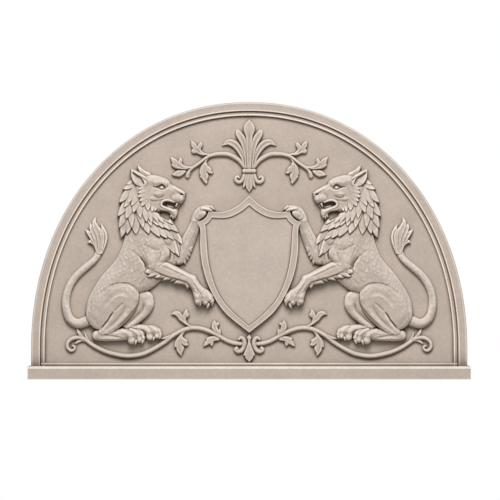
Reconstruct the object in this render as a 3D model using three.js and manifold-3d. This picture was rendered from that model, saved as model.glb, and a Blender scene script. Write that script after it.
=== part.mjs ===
// A cast stone tympanum panel: an arched slab with a moulded rim, carved in relief with two seated
// lions that hold a shield between sprays of foliage, standing on a plain sill course.
// Millimetres. x runs across the panel from its middle, z is the height and -y faces the viewer.
// Carving is laid out on the panel's face as (x, z), with z counted from the sill's underside.
import * as THREE from 'three';
import { mergeVertices } from 'three/addons/utils/BufferGeometryUtils.js';
import Module from 'manifold-3d';

const wasm = await Module();
wasm.setup();

// Driving dimensions
const SILL_WIDTH = 1770;
const SILL_HEIGHT = 52;
const SILL_DEPTH = 112;
const SILL_CHAMFER = 7;
const ARCH_HALF_WIDTH = 872;
const ARCH_RISE = 988;
const ARCH_FULLNESS = 2.08;
const SPRINGING_HEIGHT = 120;
const ARCH_STEPS = 22;
const FIELD_DEPTH = 60;
const BAND_WIDTH = 36;
const BAND_DEPTH = 92;
const BAND_ARRIS = 5;
const BEAD_WIDTH = 22;
const BEAD_DEPTH = 76;
const BEAD_FOOT = 14;
const SHIELD_BORDER = 30;
const SHIELD_RIM_RISE = 36;
const SHIELD_FIELD_RISE = 27;
const SHIELD_ARRIS = 4;
const LEAF_CREST = 18;
const LEAF_EDGE = 7;
const SINK = 8;
const BACK_ORIGIN_HEIGHT = 500;

const STONE = new THREE.MeshStandardMaterial({ color: 0xbfb1a4, roughness: 0.85, metalness: 0 });

// Solids

function solidOf(geometry) {
  const bare = geometry.clone();
  bare.deleteAttribute('normal');
  bare.deleteAttribute('uv');
  const merged = mergeVertices(bare, 1e-3);
  const triVerts = new Uint32Array(merged.index.array);
  const vertProperties = new Float32Array(merged.attributes.position.array);
  const made = new wasm.Manifold(new wasm.Mesh({ numProp: 3, vertProperties, triVerts }));
  if (made.volume() > 0) return made;
  for (let i = 0; i < triVerts.length; i += 3) {
    [triVerts[i], triVerts[i + 1]] = [triVerts[i + 1], triVerts[i]];
  }
  return new wasm.Manifold(new wasm.Mesh({ numProp: 3, vertProperties, triVerts }));
}

function unionOf(solids) {
  return wasm.Manifold.union(solids);
}

// Pockets closed in under overlapping locks are filled: only the outermost shell is kept.
function outerShell(solid) {
  const shells = solid.decompose();
  return shells.reduce((largest, shell) => (shell.volume() > largest.volume() ? shell : largest));
}

function geometryOf(solid) {
  const mesh = solid.getMesh();
  const geometry = new THREE.BufferGeometry();
  geometry.setAttribute('position', new THREE.BufferAttribute(new Float32Array(mesh.vertProperties), 3));
  geometry.setIndex(new THREE.BufferAttribute(new Uint32Array(mesh.triVerts), 1));
  geometry.computeVertexNormals();
  return geometry;
}

// A flat outline given depth, from `near` to `far` in front of the panel's back, with bevelled edges.
function plate(shape, near, far, bevel = 0) {
  const geometry = new THREE.ExtrudeGeometry(shape, {
    depth: far - near - 2 * bevel,
    bevelEnabled: bevel > 0,
    bevelThickness: bevel,
    bevelSize: bevel,
    bevelOffset: -bevel,
    bevelSegments: 1,
    curveSegments: 12,
  });
  // The outline is drawn in x and y. Turning it up stands it on the panel, growing towards the viewer.
  geometry.rotateX(Math.PI / 2);
  geometry.translate(0, -near - bevel, 0);
  return solidOf(geometry);
}

// Cross sections as [across in half widths, up from the edge at 0 to the crest at 1].
function arcSection(spans) {
  return Array.from({ length: spans + 1 }, (_, i) => {
    const turn = (Math.PI * i) / spans;
    return [Math.cos(turn), Math.sin(turn)];
  });
}

const ROUND = arcSection(4);
const FACETED = arcSection(3);
const RIDGED = arcSection(2);

// A raised form on the face: a sphere's rings strung along a smooth line through `nodes`, each
// [x, z, half width, crest height], and closed by a point `nose` half widths beyond each end.
// Its edges lie at height `base` and its walls go straight down into the ground.
function swell(nodes, { section = ROUND, base = 0, nose = 0.8 } = {}) {
  const spine = new THREE.CatmullRomCurve3(nodes.map(([x, z]) => new THREE.Vector3(x, z, 0)));
  const girth = new THREE.CatmullRomCurve3(nodes.map(([, , w, h]) => new THREE.Vector3(w, h, 0)));
  const last = nodes.length - 1;
  const stations = Array.from({ length: last + 1 }, (_, i) => ({ t: i / last, beyond: 0, round: 1 }));
  const rows = [{ t: 0, beyond: -nose, round: 0 }, ...stations, { t: 1, beyond: nose, round: 0 }];
  const floor = (crest) => (-SINK - base) / (crest - base);
  const columns = section.length + 2;
  const geometry = new THREE.SphereGeometry(1, columns, rows.length - 1);
  const places = geometry.attributes.position;
  rows.forEach(({ t, beyond, round }, row) => {
    const at = spine.getPoint(t);
    const along = spine.getTangent(t);
    const { x: width, y: crest } = girth.getPoint(t);
    const ring = [...section, [-1, floor(crest)], [1, floor(crest)], section[0]];
    ring.forEach(([across, up], column) => {
      const aside = across * width * round;
      const x = at.x + along.x * width * beyond - along.y * aside;
      const z = at.y + along.y * width * beyond + along.x * aside;
      const height = base + up * round * (crest - base);
      places.setXYZ(row * (columns + 1) + column, x, -FIELD_DEPTH - height, z);
    });
  });
  return solidOf(geometry);
}

// A pointed lock with a ridge along it, from its root to its tip.
function lock([rootX, rootZ], [tipX, tipZ], width, crest, { bend = 0, base = 0 } = {}) {
  const wide = 0.45;
  const length = Math.hypot(tipX - rootX, tipZ - rootZ);
  const wideX = rootX + (tipX - rootX) * wide - (tipZ - rootZ) * bend;
  const wideZ = rootZ + (tipZ - rootZ) * wide + (tipX - rootX) * bend;
  const geometry = new THREE.SphereGeometry(1, 5, 2);
  const places = geometry.attributes.position;
  const acrossX = (-(tipZ - rootZ) / length) * (width / 2);
  const acrossZ = ((tipX - rootX) / length) * (width / 2);
  const ring = [[1, base], [0, crest], [-1, base], [-1, -SINK], [1, -SINK], [1, base]];
  ring.forEach(([side, height], column) => {
    places.setXYZ(column, rootX, -FIELD_DEPTH - base, rootZ);
    places.setXYZ(6 + column, wideX + acrossX * side, -FIELD_DEPTH - height, wideZ + acrossZ * side);
    places.setXYZ(12 + column, tipX, -FIELD_DEPTH - base, tipZ);
  });
  return solidOf(geometry);
}

// A leaf lobe, broad along its middle, from its root to its tip.
function lobe([rootX, rootZ], [tipX, tipZ], width, { bend = 0 } = {}) {
  const along = (share) => {
    const bow = 4 * bend * share * (1 - share);
    return [
      rootX + (tipX - rootX) * share - (tipZ - rootZ) * bow,
      rootZ + (tipZ - rootZ) * share + (tipX - rootX) * bow,
    ];
  };
  const lowerShare = 0.3;
  const upperShare = 0.72;
  const upperHalf = width * 0.42;
  const nodes = [
    [...along(lowerShare), width * 0.44, LEAF_CREST],
    [...along(upperShare), upperHalf, LEAF_CREST - 1],
  ];
  const length = Math.hypot(tipX - rootX, tipZ - rootZ);
  const nose = (length * (1 - upperShare)) / upperHalf;
  return swell(nodes, { section: RIDGED, base: LEAF_EDGE, nose });
}

function smoothLine(points) {
  return new THREE.SplineCurve(points.map(([x, z]) => new THREE.Vector2(x, z)));
}

// A row of locks whose roots and tips lie on two smooth lines.
function lockRow(roots, tips, count, width, crest, options) {
  const rootLine = smoothLine(roots);
  const tipLine = smoothLine(tips);
  return Array.from({ length: count }, (_, i) => {
    const root = rootLine.getPoint(i / (count - 1));
    const tip = tipLine.getPoint(i / (count - 1));
    return lock([root.x, root.y], [tip.x, tip.y], width, crest, options);
  });
}

// The arched slab and its rim

// The arch drawn `inset` inside its outer edge, closed by a level line at height `foot`.
// Its curve is a little fuller than an ellipse, whose fullness would be 2.
function archShape(inset, foot) {
  const halfWidth = ARCH_HALF_WIDTH - inset;
  const rise = ARCH_RISE - inset;
  const power = 2 / ARCH_FULLNESS;
  const curve = Array.from({ length: ARCH_STEPS + 1 }, (_, i) => {
    const across = Math.cos((Math.PI * i) / ARCH_STEPS);
    const up = Math.max(Math.sin((Math.PI * i) / ARCH_STEPS), 0);
    const x = halfWidth * Math.sign(across) * Math.abs(across) ** power;
    return new THREE.Vector2(x, SPRINGING_HEIGHT + rise * up ** power);
  });
  return new THREE.Shape([
    new THREE.Vector2(halfWidth, foot),
    ...curve,
    new THREE.Vector2(-halfWidth, foot),
  ]);
}

function archPlate(inset, foot, near, far, bevel = 0) {
  return plate(archShape(inset, foot), near, far, bevel);
}

function slabWithRim() {
  const inside = FIELD_DEPTH / 2;
  const deep = BAND_DEPTH * 2;
  const band = archPlate(0, SILL_HEIGHT, inside, BAND_DEPTH, BAND_ARRIS);
  const belowFoot = SILL_HEIGHT / 2;
  const bandOpening = archPlate(BAND_WIDTH, belowFoot, 0, deep);
  const bead = archPlate(BAND_WIDTH, SILL_HEIGHT, inside, BEAD_DEPTH);
  const field = archPlate(BAND_WIDTH + BEAD_WIDTH, SILL_HEIGHT + BEAD_FOOT, 0, deep);
  const slab = archPlate(0, SILL_HEIGHT, 0, FIELD_DEPTH);
  return unionOf([band.subtract(bandOpening), bead.subtract(field), slab]);
}

// The shield

// Right half of the shield's outer edge from the top point to the foot, `inset` inside it.
function shieldShape(inset) {
  const top = 735 - inset * 1.28;
  const cornerX = 160 - inset * 0.45;
  const cornerZ = 672 - inset * 0.9;
  const shoulderX = 204 - inset * 0.98;
  const shoulderZ = 625 - inset * 0.42;
  const foot = 181 + inset * 1.15;
  const side = inset * 0.98;
  const half = [
    ...new THREE.QuadraticBezierCurve(
      new THREE.Vector2(0, top),
      new THREE.Vector2(62, 668 - inset),
      new THREE.Vector2(cornerX, cornerZ),
    ).getPoints(5),
    ...new THREE.QuadraticBezierCurve(
      new THREE.Vector2(cornerX, cornerZ),
      new THREE.Vector2(168 - inset * 0.6, 636 - inset * 0.6),
      new THREE.Vector2(shoulderX, shoulderZ),
    ).getPoints(3).slice(1),
    ...smoothLine([
      [shoulderX, shoulderZ],
      [196 - side, 540],
      [183 - side, 425],
      [140 - side * 0.86, 320 + side * 0.4],
      [76 - side * 0.6, 240 + side * 0.75],
      [0, foot],
    ]).getPoints(10).slice(1),
  ];
  const mirrored = half.slice(1, -1).reverse().map((point) => new THREE.Vector2(-point.x, point.y));
  return new THREE.Shape([...half, ...mirrored]);
}

function shield() {
  const rim = plate(shieldShape(0), FIELD_DEPTH - SINK, FIELD_DEPTH + SHIELD_RIM_RISE, SHIELD_ARRIS);
  const deep = FIELD_DEPTH + SHIELD_RIM_RISE * 2;
  return rim.subtract(plate(shieldShape(SHIELD_BORDER), FIELD_DEPTH + SHIELD_FIELD_RISE, deep));
}

// The lion on the right, looking towards the shield

function lionBody() {
  const trunk = [
    [395, 560, 105, 48], [405, 500, 108, 52], [455, 432, 92, 52],
    [520, 350, 92, 52], [568, 290, 84, 54], [580, 265, 76, 52],
  ];
  const neck = [[440, 740, 60, 44], [432, 690, 72, 46], [430, 650, 74, 48], [410, 600, 92, 50]];
  const shoulder = [[400, 545, 58, 54], [378, 505, 58, 62], [378, 465, 42, 68], [384, 438, 30, 68]];
  const thigh = [[489, 338, 49, 70], [520, 320, 60, 70], [566, 285, 70, 62]];
  return [
    swell(trunk, { section: arcSection(6) }),
    swell(neck),
    swell(shoulder),
    swell(thigh),
  ];
}

function lionLegs() {
  const nearShin = [
    [478, 312, 40, 66], [500, 275, 34, 62], [518, 250, 26, 58], [543, 219, 20, 54], [588, 184, 19, 50],
  ];
  const nearFoot = [[604, 174, 23, 46], [535, 178, 25, 52], [466, 176, 26, 56]];
  const farShin = [
    [416, 316, 37, 40], [422, 285, 34, 40], [439, 265, 29, 38], [463, 236, 23, 36], [485, 212, 18, 34],
  ];
  const farFoot = [[476, 198, 14, 34], [432, 194, 21, 38], [382, 186, 25, 42]];
  const nearForearm = [
    [384, 440, 30, 72], [352, 436, 36, 74], [308, 426, 33, 74], [268, 408, 28, 72], [222, 390, 23, 68],
  ];
  const nearPaw = [[218, 388, 23, 66], [200, 360, 29, 66], [184, 332, 35, 63]];
  const farForearm = [
    [266, 480, 20, 36], [258, 510, 27, 40], [246, 541, 27, 42], [229, 580, 25, 42], [200, 640, 22, 44],
  ];
  const farPaw = [[202, 650, 23, 44], [184, 672, 22, 48], [151, 681, 10, 40]];
  return [nearShin, nearFoot, farShin, farFoot, nearForearm, nearPaw, farForearm, farPaw]
    .map((nodes) => swell(nodes));
}

// Each toe is a short rounded form with a claw at its end.
function lionToes() {
  const toes = [
    { from: [478, 176], to: [466, 162], width: 17, crest: 62, claw: [455, 140] },
    { from: [450, 182], to: [438, 166], width: 15, crest: 57, claw: [426, 145] },
    { from: [404, 192], to: [400, 174], width: 17, crest: 48, claw: [386, 150] },
    { from: [376, 192], to: [368, 177], width: 14, crest: 44, claw: [354, 159] },
    { from: [200, 342], to: [203, 316], width: 18, crest: 68, claw: [199, 287] },
    { from: [174, 340], to: [171, 313], width: 17, crest: 66, claw: [171, 279] },
    { from: [158, 338], to: [151, 318], width: 12, crest: 54, claw: [154, 288] },
  ];
  return toes.flatMap(({ from, to, width, crest, claw }) => [
    swell([[...from, width * 0.85, crest - 4], [...to, width, crest]], { section: FACETED }),
    lock([to[0] + (claw[0] - to[0]) * 0.3, to[1] + (claw[1] - to[1]) * 0.3], claw, 10, crest - 12),
  ]);
}

function lionTail() {
  const tail = [
    [640, 232, 19, 40], [676, 223, 20, 38], [710, 236, 19, 37], [730, 274, 18, 36], [733, 322, 18, 36],
    [718, 376, 16, 34], [684, 427, 13, 31], [634, 470, 12, 30], [604, 515, 13, 28],
  ];
  const tuftRoot = [603, 510];
  const tuft = [
    { tip: [595, 621], width: 26, bend: -0.22 },
    { tip: [616, 648], width: 36, bend: 0.1 },
    { tip: [655, 597], width: 30, bend: 0.16 },
    { tip: [646, 543], width: 20, bend: 0.3 },
  ];
  const tuftRise = 30;
  return [
    swell(tail, { section: FACETED }),
    ...tuft.map(({ tip, width, bend }) => lock(tuftRoot, tip, width, tuftRise, { bend })),
  ];
}

function lionHead() {
  const skull = [[412, 770, 40, 58], [385, 772, 45, 64], [350, 780, 31, 62], [332, 784, 16, 58]];
  const muzzle = [[360, 752, 36, 64], [320, 748, 31, 62], [290, 741, 25, 58], [268, 737, 15, 50]];
  const whiskerPad = [[302, 723, 22, 60], [285, 721, 23, 58]];
  const cheek = [[392, 735, 44, 62], [380, 715, 40, 62]];
  const jaw = [
    [372, 690, 14, 52], [345, 684, 9, 48], [322, 678, 11, 48], [305, 668, 15, 48], [300, 657, 12, 46],
  ];
  const brow = [[324, 781, 7, 66], [342, 786, 9, 70], [376, 774, 5, 66]];
  const eye = [[346, 766, 8, 68], [350, 766, 8, 68]];
  const farEar = [[408, 812, 14, 34], [426, 833, 13, 36], [447, 860, 1.5, 30]];
  const nearEar = [[422, 780, 12, 64], [445, 806, 22, 66], [461, 828, 11, 60], [472, 841, 1.5, 52]];
  const earHollow = [[432, 787, 6, 90], [447, 805, 11, 90], [461, 826, 4, 90]];
  const ear = swell(nearEar, { section: FACETED }).subtract(swell(earHollow, { section: RIDGED, base: 58 }));
  const fang = lock([291, 704], [298, 683], 9, 44);
  const beard = lockRow([[306, 664], [314, 668]], [[293, 644], [309, 639]], 2, 14, 46);
  const rounded = [skull, muzzle, cheek].map((nodes) => swell(nodes));
  const small = [whiskerPad, jaw, farEar, brow, eye].map((nodes) => swell(nodes, { section: FACETED }));
  return [...rounded, ...small, ear, fang, ...beard];
}

function lionMane() {
  const outer = lockRow(
    [
      [466, 800], [478, 752], [492, 690], [490, 640], [466, 648],
      [424, 642], [380, 618], [338, 590], [318, 560],
    ],
    [
      [496, 776], [519, 712], [527, 654], [514, 566], [452, 577],
      [403, 582], [346, 568], [269, 540], [283, 494],
    ],
    10, 48, 62, { base: 36 },
  );
  const middle = lockRow(
    [[452, 772], [468, 715], [460, 690], [440, 690], [405, 660], [370, 640]],
    [[503, 735], [492, 645], [462, 650], [416, 622], [340, 607], [284, 590]],
    6, 44, 68, { base: 44 },
  );
  const inner = lockRow(
    [[430, 768], [440, 735], [428, 712], [402, 690], [370, 668]],
    [[470, 722], [456, 664], [428, 650], [368, 634], [304, 616]],
    6, 36, 73, { base: 50 },
  );
  return [...outer, ...middle, ...inner];
}

// Fur on the underside of the forearms.
function lionFringe() {
  const near = lockRow([[388, 426], [300, 402]], [[408, 408], [300, 384]], 4, 24, 54, { base: 20 });
  const far = lockRow([[252, 500], [262, 474]], [[237, 494], [256, 456]], 2, 18, 34);
  return [...near, ...far];
}

function lion() {
  return unionOf([
    ...lionBody(), ...lionLegs(), ...lionToes(), ...lionTail(),
    ...lionHead(), ...lionMane(), ...lionFringe(),
  ]);
}

// The foliage, right half

function stem(nodes) {
  return swell(nodes, { section: FACETED });
}

// A leaf of several lobes from one root: each lobe is [tip x, tip z, width, bend].
function leaf(root, lobes) {
  return lobes.map(([x, z, width, bend]) => lobe(root, [x, z], width, { bend }));
}

function crestFoliage() {
  const arm = [
    [20, 846, 9, 18], [44, 876, 9, 18], [80, 898, 10, 18], [122, 900, 10, 18], [164, 884, 9, 17],
    [226, 844, 7, 15], [241, 810, 8, 15],
  ];
  const volute = [[16, 826, 7, 18], [24, 796, 8, 19], [44, 786, 8, 19], [54, 802, 7, 18], [43, 809, 5, 17]];
  const curlingPetal = [
    [14, 848, 4, 16], [30, 892, 8, 19], [52, 930, 11, 21],
    [78, 948, 11, 21], [98, 946, 7, 18], [110, 938, 2, 14],
  ];
  return [
    stem(arm),
    stem(volute),
    stem([[150, 893, 7, 15], [176, 899, 6, 14], [194, 910, 5, 14]]),
    stem([[154, 890, 7, 15], [170, 872, 6, 15], [178, 850, 5, 15]]),
    stem([[224, 844, 7, 15], [252, 848, 5, 14]]),
    ...leaf([190, 906], [[187, 947, 18, 0.12], [232, 956, 26, 0.08], [229, 911, 17, -0.1]]),
    ...leaf([250, 848], [[271, 886, 17, -0.12], [312, 890, 26, 0.06], [303, 851, 17, -0.06]]),
    lobe([246, 840], [306, 819], 24, { bend: -0.1 }),
    ...leaf([176, 862], [[140, 827, 20, -0.1], [167, 782, 36, 0.12], [195, 812, 20, 0.06]]),
    lobe([4, 840], [52, 999], 36, { bend: -0.05 }),
    swell(curlingPetal, { section: RIDGED, base: LEAF_EDGE }),
    lobe([6, 808], [26, 764], 13, { bend: 0.05 }),
  ];
}

function crestMiddle() {
  const spear = [[0, 842, 6, 16], [0, 920, 12, 20], [0, 984, 24, 22], [0, 1004, 24, 21], [0, 1034, 3, 14]];
  const drop = [[0, 826, 6, 16], [0, 800, 7, 16], [0, 772, 14, 18], [0, 750, 2, 12]];
  return [
    swell(spear, { section: RIDGED, base: LEAF_EDGE }),
    swell([[-24, 836, 7, 24], [24, 836, 7, 24]], { section: FACETED }),
    swell(drop, { section: RIDGED, base: LEAF_EDGE }),
  ];
}

function baseFoliage() {
  const runner = [
    [34, 141, 9, 18], [90, 148, 10, 19], [150, 182, 10, 19], [204, 202, 10, 19], [254, 197, 10, 18],
    [310, 168, 10, 18], [380, 124, 10, 18], [452, 97, 10, 18], [524, 95, 10, 18], [596, 115, 9, 18],
    [654, 155, 8, 17],
  ];
  const endVolute = [
    [650, 152, 7, 16], [682, 164, 7, 16], [712, 160, 7, 16],
    [728, 136, 8, 17], [714, 116, 8, 17], [700, 126, 6, 16],
  ];
  const cScroll = [
    [40, 160, 5, 17], [28, 168, 6, 18], [16, 150, 7, 19],
    [18, 122, 7, 19], [38, 106, 7, 18], [54, 116, 6, 17],
  ];
  return [
    stem(runner),
    stem(endVolute),
    stem(cScroll),
    ...leaf([644, 150], [[691, 205, 14, 0.14], [660, 188, 9, 0.06]]),
    ...leaf([112, 166], [[118, 204, 13, 0.08], [141, 234, 24, 0.24]]),
    ...leaf([130, 167], [[184, 126, 26, 0.22], [149, 131, 17, 0.24]]),
    ...leaf([226, 204], [[249, 281, 24, 0.14], [311, 256, 24, 0.26]]),
    ...leaf([258, 196], [[243, 138, 24, -0.26], [270, 92, 38, 0.22], [297, 126, 22, 0.12]]),
    lobe([6, 138], [23, 92], 18),
  ];
}

function baseMiddle() {
  const spear = [[0, 176, 2, 12], [0, 162, 10, 17], [0, 142, 7, 17], [0, 98, 13, 19], [0, 70, 2, 12]];
  return [swell(spear, { section: RIDGED, base: LEAF_EDGE })];
}

// The whole panel and its sill

function panel() {
  const rightHalf = unionOf([lion(), ...crestFoliage(), ...baseFoliage()]);
  const leftHalf = solidOf(geometryOf(rightHalf).scale(-1, 1, 1));
  const middle = [shield(), ...crestMiddle(), ...baseMiddle()];
  return outerShell(unionOf([slabWithRim(), rightHalf, leftHalf, ...middle]));
}

function sill() {
  const halfWidth = SILL_WIDTH / 2;
  const face = new THREE.Shape();
  face.moveTo(0, 0);
  face.lineTo(SILL_DEPTH, 0);
  face.lineTo(SILL_DEPTH, SILL_HEIGHT - SILL_CHAMFER);
  face.lineTo(SILL_DEPTH - SILL_CHAMFER, SILL_HEIGHT);
  face.lineTo(0, SILL_HEIGHT);
  face.closePath();
  const geometry = new THREE.ExtrudeGeometry(face, { depth: SILL_WIDTH, bevelEnabled: false });
  // The section is drawn as depth and height, and is run along the panel's width.
  geometry.rotateX(Math.PI / 2);
  geometry.rotateZ(-Math.PI / 2);
  geometry.translate(halfWidth, 0, 0);
  return geometry;
}

function part(name, geometry) {
  const mesh = new THREE.Mesh(geometry, STONE.clone());
  mesh.name = name;
  return mesh;
}

const tympanum = new THREE.Group();
tympanum.add(part('arched_panel', geometryOf(panel())), part('sill', sill()));
tympanum.position.z = -BACK_ORIGIN_HEIGHT;

export default tympanum;
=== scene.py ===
"""Tympanum panel: an arched relief in cast stone with two lions that hold a blank shield."""
import functools
import math
import types

import bmesh
import bpy
import numpy as np
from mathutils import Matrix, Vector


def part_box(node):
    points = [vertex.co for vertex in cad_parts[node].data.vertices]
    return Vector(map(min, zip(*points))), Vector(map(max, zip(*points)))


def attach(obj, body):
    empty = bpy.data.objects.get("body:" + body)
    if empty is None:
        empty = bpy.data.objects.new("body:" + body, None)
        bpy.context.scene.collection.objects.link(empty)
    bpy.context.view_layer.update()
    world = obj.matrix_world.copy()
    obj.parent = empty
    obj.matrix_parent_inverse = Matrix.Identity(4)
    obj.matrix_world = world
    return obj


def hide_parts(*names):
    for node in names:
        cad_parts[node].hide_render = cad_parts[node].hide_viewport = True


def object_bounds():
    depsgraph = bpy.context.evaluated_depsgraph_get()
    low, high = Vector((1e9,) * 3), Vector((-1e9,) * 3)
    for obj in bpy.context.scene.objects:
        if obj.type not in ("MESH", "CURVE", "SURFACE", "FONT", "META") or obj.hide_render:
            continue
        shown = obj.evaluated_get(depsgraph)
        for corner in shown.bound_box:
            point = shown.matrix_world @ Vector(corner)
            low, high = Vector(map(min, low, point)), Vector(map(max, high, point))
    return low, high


bl_info = {
    "name": "Tympanum panel",
    "version": (1, 0, 0),
    "blender": (4, 5, 0),
    "location": "View3D > Sidebar > Tympanum",
    "description": "Carved overdoor panel with two lions, a shield and foliage",
    "category": "Object",
}

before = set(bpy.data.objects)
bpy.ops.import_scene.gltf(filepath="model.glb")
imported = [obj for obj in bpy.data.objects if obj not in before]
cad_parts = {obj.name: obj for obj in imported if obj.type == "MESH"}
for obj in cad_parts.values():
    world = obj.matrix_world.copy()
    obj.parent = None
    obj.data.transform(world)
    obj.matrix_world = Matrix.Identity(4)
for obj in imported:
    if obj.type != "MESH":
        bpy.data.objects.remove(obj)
CAD_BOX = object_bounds()
PANEL_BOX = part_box("arched_panel")
SILL_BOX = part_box("sill")

# Sizes below are in millimetres. Heights along z count from the underside of the sill, x from the
# centre line, and depths from the flat back towards the viewer.
MM = 0.001
UNDERSIDE = SILL_BOX[0][2] / MM
SILL_TOP = SILL_BOX[1][2] / MM - UNDERSIDE
ARCH_HALF_WIDTH = PANEL_BOX[1][0] / MM
ARCH_CROWN = PANEL_BOX[1][2] / MM - UNDERSIDE
SPRINGING = 120.0
# An ellipse would have a fullness of 2.
ARCH_FULLNESS = 2.08
ARCH_RISE = ARCH_CROWN - SPRINGING

# Empty places of a relief lie this far below the ground, inside the slab.
BELOW = -9.0
# Walls of the carved forms fall this many millimetres for each millimetre outwards.
WALL = 12.0
# The closing face of a relief lies this far below the ground.
SEAT = -14.0
# Creases and grooves are cut no deeper than this.
DEEPEST_CUT = -2.0
# Cells of a relief that lie wholly below this are left out.
LEFT_OUT = -4.0
# The rim's inner edge overhangs the edge of the ground plate by this much.
RIM_LIP = 8.0
# Steps of the rim's section over the arch
RIM_STEPS = 120
# Points of the shield's outline from one node to the next
SHIELD_STEPS = 5
# Small arris of the sill, and the margin that keeps the painted highlight on its arrises narrow
SILL_ARRIS = 1.5
SILL_MARGIN = 2.5
# Value of the painted highlight along an arris of the sill
PAINTED_ARRIS_HIGHLIGHT = -0.55

# Stage, in metres and watts. The panel belongs above a doorway, so the floor lies well below it.
FLOOR_DROP = 0.8
FLOOR_HALF_WIDTH = 2.0
KEY_PLACE = (0.0, -5.6, 3.6)
KEY_SIZE = 2.8
KEY_POWER = 505.0
CAMERA_DISTANCE = 14.0
# Width that the picture shows, counted at the band's face, which is this far in front of the back
SHOWN_WIDTH = 2.0
BAND_FACE = 0.08
# Middle of the picture in millimetres: x, and height above the sill's underside
PICTURE_MIDDLE = (3.2, 516.6)


# Sizes and colours that a user may change

class TympanumSizes(bpy.types.PropertyGroup):
    """Depths and finenesses of the panel."""

    ground_depth: bpy.props.FloatProperty(
        name="Ground depth", description="From the flat back to the ground of the relief",
        default=60 * MM, unit="LENGTH")
    band_depth: bpy.props.FloatProperty(
        name="Band depth", description="From the flat back to the outer band",
        default=89 * MM, unit="LENGTH")
    band_width: bpy.props.FloatProperty(
        name="Band width", description="Width of the flat outer band",
        default=40 * MM, unit="LENGTH")
    step_width: bpy.props.FloatProperty(
        name="Step width", description="Width of the lower step inside the band",
        default=15 * MM, unit="LENGTH")
    step_rise: bpy.props.FloatProperty(
        name="Step rise", description="How far the lower step stands above the ground",
        default=15 * MM, unit="LENGTH")
    shield_rise: bpy.props.FloatProperty(
        name="Shield rise", description="How far the shield's border stands above the ground",
        default=34 * MM, unit="LENGTH")
    lion_cell: bpy.props.FloatProperty(
        name="Lion grid", description="Mesh spacing of the lions",
        default=1.55 * MM, unit="LENGTH")
    leaf_cell: bpy.props.FloatProperty(
        name="Foliage grid", description="Mesh spacing of the foliage",
        default=1.25 * MM, unit="LENGTH")
    ground_cell: bpy.props.FloatProperty(
        name="Ground grid", description="Mesh spacing of the ground",
        default=4 * MM, unit="LENGTH")
    sill_chamfer: bpy.props.FloatProperty(
        name="Sill chamfer", description="Chamfer along the sill's top front edge",
        default=7 * MM, unit="LENGTH")


def millimetres(sizes):
    """The user's sizes in millimetres, free of rounding noise."""
    names = TympanumSizes.__annotations__
    return types.SimpleNamespace(**{name: round(getattr(sizes, name) / MM, 3) for name in names})


def linear(hex_colour):
    """A linear colour from an sRGB hex value."""
    channels = [int(hex_colour[i:i + 2], 16) / 255 for i in (1, 3, 5)]
    return tuple(c / 12.92 if c <= 0.04045 else ((c + 0.055) / 1.055) ** 2.4 for c in channels)


class TympanumFinish(bpy.types.PropertyGroup):
    """Colours of the stone, and of its painted shade and painted highlight."""

    stone: bpy.props.FloatVectorProperty(
        name="Stone", description="Colour of the open surfaces", subtype="COLOR", size=3,
        default=linear("#A99C91"))
    # painted shade: the colour put into creases and under overhangs, where shade falls
    crease: bpy.props.FloatVectorProperty(
        name="Crease", description="Colour that gathers in the hollows", subtype="COLOR", size=3,
        default=linear("#5E4730"))
    # painted highlight: the colour put on crests and arrises, where light falls
    crest: bpy.props.FloatVectorProperty(
        name="Crest", description="Colour of rubbed edges and crests", subtype="COLOR", size=3,
        default=linear("#D8CEC4"))


# The carved height field

def smooth_line(nodes, spacing=4.0, count=None):
    """A smooth line through the nodes, with points at a spacing or a count of them from node to node.
    Further columns of the nodes, such as widths, are carried along."""
    points = np.asarray(nodes, dtype=float)
    padded = np.vstack([2 * points[0] - points[1], points, 2 * points[-1] - points[-2]])
    runs = []
    for i in range(len(points) - 1):
        a, b, c, d = padded[i:i + 4]
        steps = count or max(2, int(np.hypot(*(c - b)[:2]) / spacing))
        t = np.linspace(0, 1, steps, endpoint=False)[:, None]
        bend = (2 * a - 5 * b + 4 * c - d) * t ** 2
        twist = (3 * b - a - 3 * c + d) * t ** 3
        runs.append(0.5 * (2 * b + (c - a) * t + bend + twist))
    return np.vstack(runs + [points[-1:]])


def blurred(field, cells):
    """The field after three passes of a running mean."""
    out = field
    reach = max(1, int(round(cells)))
    for axis in (0, 1):
        size = field.shape[axis]
        for _ in range(3):
            margin = [(reach + 1, reach) if k == axis else (0, 0) for k in (0, 1)]
            total = np.cumsum(np.pad(out, margin, mode="edge"), axis=axis)
            upper = np.take(total, np.arange(2 * reach + 1, 2 * reach + 1 + size), axis=axis)
            lower = np.take(total, np.arange(0, size), axis=axis)
            out = (upper - lower) / (2 * reach + 1)
    return out


def shifted_down(field, cells):
    """The field moved down by some rows, so that each place holds what is just above it."""
    rows = max(1, int(round(cells)))
    return np.vstack([field[rows:], np.repeat(field[-1:], rows, axis=0)])


def beside(a, b, x, z):
    """How far along the straight line from a to b each place is nearest to it, and the offset from there."""
    run = b[:2] - a[:2]
    along = ((x - a[0]) * run[0] + (z - a[1]) * run[1]) / max(run @ run, 1e-9)
    along = np.clip(along, 0, 1)
    return along, x - a[0] - along * run[0], z - a[1] - along * run[1]


def within(outline, x, z):
    """How far places lie inside a closed outline; negative outside."""
    nearest = np.full(x.shape, 1e9)
    inside = np.zeros(x.shape, dtype=bool)
    for a, b in zip(outline, np.roll(outline, -1, axis=0)):
        _, dx, dz = beside(a, b, x, z)
        nearest = np.minimum(nearest, np.hypot(dx, dz))
        rise = b[1] - a[1]
        if abs(rise) > 1e-9:
            crosses = (a[1] > z) != (b[1] > z)
            inside ^= crosses & (x < a[0] + (z - a[1]) / rise * (b[0] - a[0]))
    return np.where(inside, nearest, -nearest)


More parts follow.
